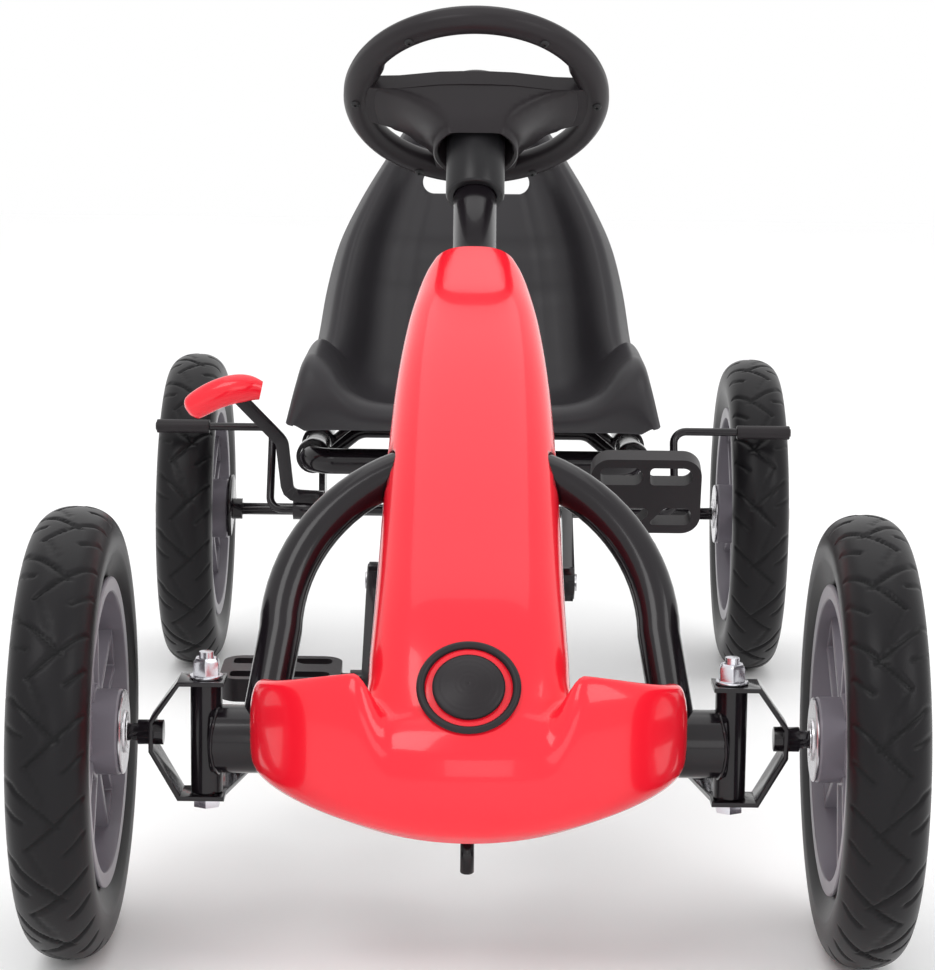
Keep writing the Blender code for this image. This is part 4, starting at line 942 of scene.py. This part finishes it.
# Steering
steering = {
    "ringRadius": 0.0967,
    "gripRadius": 0.0110,
    "height": 0.1485,
    "thumbAngle": math.radians(21),
    "thumbWidth": math.radians(9),
    "thumbDepth": 0.0038,
    "aroundSteps": 240,
    "sectionSteps": 28,
    "screwSpots": [(0.053, 0.0818), (0.0974, 0.004), (0.047, -0.0854)],
    "screwSize": 0.0036,
}
hubOutline = [  # right half, from the top round to the bottom: across, lift
    (0.012, 0.0272), (0.030, 0.0262), (0.062, 0.0210), (0.080, 0.0203), (0.0935, 0.0230), (0.0940, -0.0200),
    (0.078, -0.0265),
    (0.060, -0.0345), (0.045, -0.048), (0.036, -0.064), (0.031, -0.0930),
]


def makeSteeringWheel():
    rings = []
    for i in range(steering["aroundSteps"]):
        a = 2 * math.pi * i / steering["aroundSteps"]
        lean = abs((a + math.pi / 2) % (2 * math.pi) - math.pi) - (math.pi / 2 - steering["thumbAngle"])
        thumb = steering["thumbDepth"] * math.exp(-((lean / steering["thumbWidth"]) ** 4)) * (math.sin(a) > 0)
        ring = []
        for j in range(steering["sectionSteps"]):
            b = 2 * math.pi * j / steering["sectionSteps"]
            out = math.cos(b)
            size = steering["gripRadius"] + (thumb * out * out if out < 0 else 0) - (0.0007 if j == 0 else 0)
            r = steering["ringRadius"] + size * out
            ring.append(onColumn(steering["height"] + steering["gripRadius"] * math.sin(b),
                r * math.sin(a), r * math.cos(a)))
        rings.append(ring)
    outline = hubOutline + [(-x, q) for x, q in hubOutline[::-1]]
    outline = roundedOutline(outline, 0.009, 8)
    levels = (steering["height"] - 0.0080, steering["height"] + 0.0055)
    spokes = skin([[onColumn(level, q, x) for x, q in outline] for level in levels])
    bell = [(0.0940, 0.0300), (0.0925, 0.0312), (0.0920, 0.0328), (0.0932, 0.0340), (0.100, 0.0342),
            (0.106, 0.0354)]
    bell += [(0.112, 0.0382), (0.118, 0.0426), (0.124, 0.0486), (0.130, 0.0560), (0.135, 0.0640),
        (0.1385, 0.0730)]
    bell += [(0.1403, 0.0820), (0.1440, 0.0825), (0.1440, 0.0242), (0.112, 0.0242), (0.100, 0.0285)]
    cone = []
    for i in range(144):
        a = 2 * math.pi * i / 144
        most = outlineReach(outline, (0, 0), (math.cos(a), math.sin(a))) - 0.0008
        ring = []
        for k, (s, r) in enumerate(bell):
            r = min(r, most - (0.0022 if k == 0 or k > len(bell) - 4 else 0))
            ring.append(onColumn(s, r * math.sin(a), r * math.cos(a)))
        cone.append(ring)
    parts = joined(skin(rings, closed=True), spokes, skin(cone, closed=True))
    wheel = addPiece("wheel_rim", toMesh("wheel_rim", *parts, smoothAngle=44), "steering_wheel")
    claim(softEdges(wheel, 0.0016, 3, 50), "steering_wheel")

    head = [(0.0, 0.0002), (0.0, 0.80), (0.14, 1.0), (0.34, 1.0), (0.62, 0.86), (0.78, 0.55), (0.80, 0.30),
            (0.50, 0.28)]
    head += [(0.50, 0.0002)]
    unit = lathe(head, 28, along="Z")
    tilt = (-columnAxis).to_track_quat("Z", "Y").to_euler()
    spots = []
    for x, lift in steering["screwSpots"]:
        for side in (-1, 1):
            spots.append((onColumn(steering["height"] - steering["gripRadius"] + 0.0008, lift, side * x),
                tilt))
    # the screws take the near-black painted shade of their recesses
    mesh = repeated("wheel_screws", unit, spots, "painted_hole_shade", steering["screwSize"])
    addPiece("wheel_screws", mesh, "steering_wheel", "painted_hole_shade")

    pad = [(0.1543, 0.0338), (0.1600, 0.0340), (0.1612, 0.0330), (0.1622, 0.0340), (0.166, 0.0334),
           (0.170, 0.0302)]
    pad += [(0.1728, 0.0250), (0.1738, 0.016), (0.1740, 0.0002), (0.1543, 0.0002)]
    disc = []
    for i in range(96):
        a = 2 * math.pi * i / 96
        disc.append([onColumn(s, -0.021 + r * math.sin(a), r * math.cos(a)) for s, r in pad])
    standIn("centre_pad", skin(disc, closed=True), "steering_pad")

    sleeve = [(0.049, 0.0174), (0.049, 0.0212), (0.0495, 0.02225), (0.0515, 0.02325), (0.110, 0.02325),
        (0.112, 0.0225)]
    sleeve += [(0.112, 0.0053), (0.080, 0.0053), (0.080, 0.0174)]
    standIn("column_sleeve", lathe(sleeve, 72, along="column"), "steering_sleeve", finish="column_plastic")


makeSteeringWheel()
softenedCopy("steering_shaft", "steering_rod", 0.0006)
softenedCopy("column_liner", "column_bush", 0.0005)
for side in ("left", "right"):
    softenedCopy(f"{side}_steering_knuckle", f"front_{side}_knuckle", 0.0008)
    softenedCopy(f"{side}_track_rod", f"{side}_tie_rod", 0.0005)
    softenedCopy(f"{side}_king_bolt", f"{side}_kingpin_bolt", 0.0006)
    softenedCopy(f"{side}_king_nut", f"{side}_kingpin_nut", 0.0006)
print("steering made")

# Drive
drive = {
    "chainLine": 0.043,
    "teeth": (27, 15),
    "pitch": 0.0127,
    "plateHeight": 0.0082,
    "stand": 0.00585,
    "toothHalf": 0.0015,
    "crankTip": (0.1041, 0.0577),
}


def pitchRadius(teeth):
    return drive["pitch"] / 2 / math.sin(math.pi / teeth)


def toothedOutline(teeth):
    pitch, outline = pitchRadius(teeth), []
    for i in range(teeth):
        for share, reach in ((-0.09, 0.0010), (0.09, 0.0010), (0.20, -0.0008), (0.30, -0.0028),
            (0.42, -0.0038), (0.58, -0.0038), (0.70, -0.0028), (0.80, -0.0008)):
            a = 2 * math.pi * (i + share) / teeth
            outline.append(((pitch + reach) * math.cos(a), (pitch + reach) * math.sin(a)))
    return outline


def toothedRing(name, node, teeth, centre, hub, holes, bore):
    low, high = drive["chainLine"] - drive["toothHalf"], drive["chainLine"] + drive["toothHalf"]
    outline = toothedOutline(teeth)
    inner = [(bore * math.cos(a), bore * math.sin(a)) for a in (math.atan2(z, y) for y, z in outline)]
    rings = [[Vector((x, *p)) for p in ring] for x, ring in ((low, inner), (low, outline), (high, outline),
        (high, inner))]
    disc = skin(list(map(list, zip(*rings))), closed=True)
    piece = addPiece(name, toMesh(name, *shifted(joined(disc), centre)), node)
    count, ringRadius, holeRadius = holes
    if count:
        cutters = []
        for i in range(count):
            a = 2 * math.pi * (i + 0.5) / count
            hole = [(low - 0.01, 0.0001), (low - 0.01, holeRadius), (high + 0.01, holeRadius),
                    (high + 0.01, 0.0001)]
            place = (0, ringRadius * math.cos(a) + centre[1], ringRadius * math.sin(a) + centre[2])
            cutters.append(lathe(hole, 28, place))
        cutWith(piece, joined(*cutters))
    start, end, radius = hub
    collar = [(start, bore), (start, radius - 0.0006), (start + 0.0006, radius), (end - 0.0006, radius)]
    collar += [(end, radius - 0.0006), (end, bore)]
    boss = toMesh(name + "_boss", *shifted(lathe(collar, 48), centre))
    work = bmesh.new()
    work.from_mesh(piece.data)
    work.from_mesh(boss)
    work.to_mesh(piece.data)
    work.free()
    piece.data.shade_smooth()
    piece.data.set_sharp_from_angle(angle=math.radians(35))
    return claim(softEdges(piece, 0.0003, 1, 40), node)


def makeChain():
    start = Vector(kart["crankPlace"])
    end = Vector((kart["rearAxleY"], kart["axleHeight"]))
    large, small = (pitchRadius(teeth) for teeth in drive["teeth"])
    heading = math.atan2((end - start).y, (end - start).x)
    lean = math.acos((large - small) / (end - start).length)
    path = []
    for centre, radius, first, last in ((start, large, heading + lean, heading + 2 * math.pi - lean),
        (end, small, heading - lean, heading + lean)):
        for i in range(241):
            a = first + (last - first) * i / 240
            path.append(centre + Vector((math.cos(a), math.sin(a))) * (radius + drive["stand"]))
    path.append(path[0])
    reach = [0.0]
    for a, b in zip(path, path[1:]):
        reach.append(reach[-1] + (b - a).length)
    links = 2 * round(reach[-1] / drive["pitch"] / 2)
    ys = np.interp(np.arange(links + 1) / links * reach[-1], reach, [p.x for p in path])
    zs = np.interp(np.arange(links + 1) / links * reach[-1], reach, [p.y for p in path])
    half, high = drive["pitch"] / 2, drive["plateHeight"] / 2

    def link(inside, outside, pinRadius, pinHalf):
        outline = []
        for i in range(48):
            a = 2 * math.pi * i / 48
            shift = half if math.cos(a) > 0 else -half
            waist = 1 - 0.22 * math.exp(-((math.cos(a) / 0.35) ** 2))
            outline.append((shift + high * math.cos(a) * 0.98, high * math.sin(a) * waist))
        outline = roundedOutline(outline, 0.0004, 2)
        shapes = [plate(outline, s * inside, s * outside) for s in (-1, 1)]
        for shift in (-half, half):
            pin = [(-pinHalf, 0.0002), (-pinHalf, pinRadius), (pinHalf, pinRadius), (pinHalf, 0.0002)]
            shapes.append(lathe(pin, 20, (0, shift, 0)))
        return joined(*shapes)

    units = (link(0.00255, 0.00350, 0.0018, 0.00375), link(0.00150, 0.00245, 0.0034, 0.00145))
    for odd, unit in enumerate(units):
        spots = []
        for i in range(odd, links, 2):
            turn = math.atan2(zs[i + 1] - zs[i], ys[i + 1] - ys[i])
            spots.append(((drive["chainLine"], (ys[i] + ys[i + 1]) / 2, (zs[i] + zs[i + 1]) / 2),
                (turn, 0, 0)))
        name = ("outer_links", "inner_links")[odd]
        piece = addPiece(name, repeated(name, unit, spots, "steel"), "chain")
        claim(piece, "chain") if odd == 0 else piece


crankCentre = (0, *kart["crankPlace"])
rearCentre = (0, kart["rearAxleY"], kart["axleHeight"])
toothedRing("pedal_sprocket", "chainring", drive["teeth"][0], crankCentre, (0.0335, 0.049, 0.0140),
    (5, 0.033, 0.0085), 0.0085)
toothedRing("axle_sprocket", "rear_sprocket", drive["teeth"][1], rearCentre, (0.033, 0.044, 0.0125),
    (0, 0, 0), 0.0065)
makeChain()
print("chain made")


softenedCopy("drive_dog", "drive_plate", 0.0007)
softenedCopy("pedal_spindle", "crank_spindle", 0.0006)
softenedCopy("rear_shaft", "rear_axle", 0.0006, finish="black_paint")
for side in ("left", "right"):
    softenedCopy(f"{side}_arm", f"{side}_crank_arm", 0.0016, 3)
    softenedCopy(f"{side}_rail_bearing", f"{side}_axle_bearing", 0.0005)

# Pedals
pedal = {
    "start": 0.0995,
    "end": 0.192,
    "halfLength": 0.0345,
    "halfThickness": 0.0090,
    "corner": 0.016,
    "edge": 0.0078,
    "spine": 0.0108,
    "pitches": {"left": math.radians(-72), "right": math.radians(2.5)},
}


def makePedal(side):
    way = 1 if side == "left" else -1
    half, deep = (pedal["end"] - pedal["start"]) / 2, pedal["halfLength"]
    high, edge, spine = pedal["halfThickness"], pedal["edge"], pedal["spine"]

    def slab(points, radius, low, top):
        outline = roundedOutline(points, radius, 10)
        return skin([[Vector((x, y, z)) for x, y in outline] for z in (low, top)])

    def box(x0, x1, y0, y1, radius):
        return slab([(x0, y0), (x1, y0), (x1, y1), (x0, y1)], radius, -0.05, 0.05)

    body = slab([(-half, -deep), (half, -deep), (half, deep), (-half, deep)], pedal["corner"], -high, high)
    piece = addPiece(f"{side}_foot_pedal", toMesh(f"{side}_foot_pedal", *body), f"{side}_pedal")
    windows = [box(-half + edge, -0.0030, -deep + edge, -spine, 0.0080),
        box(0.0030, half - edge, -deep + edge, -spine, 0.0080)]
    strut = 0.012
    low, top = spine, deep - edge
    windows.append(slab([(-half + edge, low), (strut - 0.0035, low), (strut - 0.018, top),
        (-half + edge, top)], 0.0068, -0.05, 0.05))
    windows.append(slab([(strut + 0.0040, low), (half - edge, low), (half - edge, top),
        (strut - 0.0105, top)], 0.0058, -0.05, 0.05))
    bore = [(-0.1, 0.0002), (-0.1, 0.0060), (0.1, 0.0060), (0.1, 0.0002)]
    cutWith(piece, joined(*windows))
    cutWith(piece, lathe(bore, 32))
    turn = Matrix.Rotation(pedal["pitches"][side], 4, "X")
    tip = Vector(drive["crankTip"]) * way
    middle = way * (pedal["start"] + pedal["end"]) / 2
    place = Matrix.Translation((middle, kart["crankPlace"][0] + tip.x, kart["crankPlace"][1] + tip.y))
    piece.data.transform(place @ turn)
    piece.data.shade_smooth()
    piece.data.set_sharp_from_angle(angle=math.radians(35))
    claim(softEdges(piece, 0.0012, 3, 40), f"{side}_pedal")


for side in ("left", "right"):
    makePedal(side)
print("pedals made")

# Brake
brake = {
    "axis": (0.270, 0.186),
    "reach": (0.310, 0.258),
    "tip": 0.301,
    "half": 0.190,
    "barDiameter": 0.0075,
    "sleeveRadius": 0.0065,
    "sleeveLength": 0.050,
    "springFrom": -0.1375,
    "springTo": -0.1085,
    "coils": 9,
    "coilRadius": 0.0068,
    "wireRadius": 0.0010,
}


def makeBrake():
    path = [(brake["tip"], *brake["reach"]), (brake["half"], *brake["reach"]),
            (brake["half"], *brake["axis"])]
    path += [(-x, y, z) for x, y, z in path[::-1]]
    standIn("brake_rod", tube(smoothed(path, 0.012, 10), brake["barDiameter"], 28), "brake_bar")
    inner, r, length = brake["barDiameter"] / 2 + 0.0003, brake["sleeveRadius"], brake["sleeveLength"] / 2
    for side, word in ((1, "left"), (-1, "right")):
        profile = [(-length, inner), (-length, r - 0.0006), (-length + 0.0006, r), (length - 0.0006, r),
            (length, r - 0.0006)]
        profile.append((length, inner))
        centre = (side * (brake["tip"] - length - 0.001), *brake["reach"])
        standIn(f"{word}_brake_tube", shifted(lathe(profile, 40), centre), f"{word}_brake_sleeve")
    softenedCopy("hand_lever", "brake_lever", 0.0009)

    spine = [(-0.1940, -0.053, 0.1190), (-0.2060, -0.0538, 0.1212), (-0.2200, -0.0545, 0.1200),
        (-0.2350, -0.0545, 0.1150)]
    spine += [(-0.2480, -0.0535, 0.1080), (-0.2570, -0.0525, 0.1020), (-0.2605, -0.0522, 0.0995)]
    sizes = [0.0085, 0.0122, 0.0134, 0.0133, 0.0128, 0.0112, 0.0060]
    rows = blended([(*p, size) for p, size in zip(spine, sizes)], 8)
    rings = []
    for i, row in enumerate(rows):
        before, after = rows[max(i - 1, 0)], rows[min(i + 1, len(rows) - 1)]
        along = Vector(after[:3] - before[:3]).normalized()
        side = Vector((0, 1, 0))
        side = (side - along * side.dot(along)).normalized()
        up = along.cross(side)
        middle = Vector(row[:3]) + Vector((0, *brake["axis"]))
        ring = []
        for j in range(40):
            a = 2 * math.pi * j / 40
            ring.append(middle + (side * math.cos(a) * 0.86 + up * math.sin(a)) * row[3])
        rings.append(ring)
    standIn("red_grip", skin(rings), "brake_grip", 60)

    pitch = (brake["springTo"] - brake["springFrom"]) / brake["coils"]
    coil = []
    for i in range(37):
        a = 2 * math.pi * i / 36
        coil.append((pitch * i / 36, brake["coilRadius"] * math.cos(a), brake["coilRadius"] * math.sin(a)))
    unit = tube(coil, 2 * brake["wireRadius"], 10)
    spots = [((brake["springFrom"] + pitch * i, *brake["axis"]), (0, 0, 0)) for i in range(brake["coils"])]
    mesh = repeated("return_spring", unit, spots, "steel")
    claim(addPiece("return_spring", mesh, "brake_spring"), "brake_spring")


makeBrake()
softenedCopy("arch_knob", "seat_knob", 0.0010)
print("brake made")

# Floor, light and camera
studio = {
    "floorSize": 14.0,
    "camera": (0.0031, -2.3239, 0.6379),
    "yaw": -0.0030,
    "pitch": 0.1631,
    "roll": 0.0108,
    "lens": 104.06,
}


def makeStudio():
    half = studio["floorSize"] / 2
    mesh = toMesh("studio_floor", [(-half, -half, 0), (half, -half, 0), (half, half, 0), (-half, half, 0)],
        [(0, 1, 2, 3)])
    floor = bpy.data.objects.new("studio_floor", mesh)
    bpy.context.scene.collection.objects.link(floor)
    mesh.materials.append(makeFinish("floorPaint", (0.985, 0.985, 0.985), 0.75, specular=0.1, grain=300,
        depth=0.0, patch=1.5, patchShare=0.01))
    rows = (("key", (-1.3, -2.4, 3.2), 1.6, 26), ("fill", (2.4, -2.0, 2.2), 1.4, 16),
            ("top", (0, 0.6, 3.4), 3.0, 20),
            ("front", (0.2, -3.4, 0.9), 1.2, 5))
    for name, place, size, power in rows:
        light = bpy.data.lights.new(name, "AREA")
        light.shape, light.size, light.energy = "SQUARE", size, power
        lamp = bpy.data.objects.new(name, light)
        lamp.location = place
        lamp.rotation_euler = (Vector((0, 0, 0.25)) - Vector(place)).to_track_quat("-Z", "Y").to_euler()
        bpy.context.scene.collection.objects.link(lamp)
    world = bpy.data.worlds.new("studio")
    world.use_nodes = True
    world.node_tree.nodes["Background"].inputs["Color"].default_value = (1, 1, 1, 1)
    world.node_tree.nodes["Background"].inputs["Strength"].default_value = 1.0
    bpy.context.scene.world = world

    yaw, pitch, roll = studio["yaw"], studio["pitch"], studio["roll"]
    look = Vector((math.sin(yaw) * math.cos(pitch), math.cos(yaw) * math.cos(pitch), -math.sin(pitch)))
    right = Vector((math.cos(yaw), -math.sin(yaw), 0))
    up = right.cross(look)
    matrix = Matrix((right * math.cos(roll) + up * math.sin(roll),
        up * math.cos(roll) - right * math.sin(roll), -look))
    matrix = matrix.transposed().to_4x4()
    matrix.translation = Vector(studio["camera"])
    bpy.context.scene.view_settings.view_transform = "Standard"
    data = bpy.data.cameras.new("view")
    data.lens, data.sensor_width, data.sensor_fit = studio["lens"], 36, "AUTO"
    camera = bpy.data.objects.new("view", data)
    bpy.context.scene.collection.objects.link(camera)
    camera.matrix_world = matrix
    bpy.context.scene.camera = camera


makeStudio()
print("studio made")
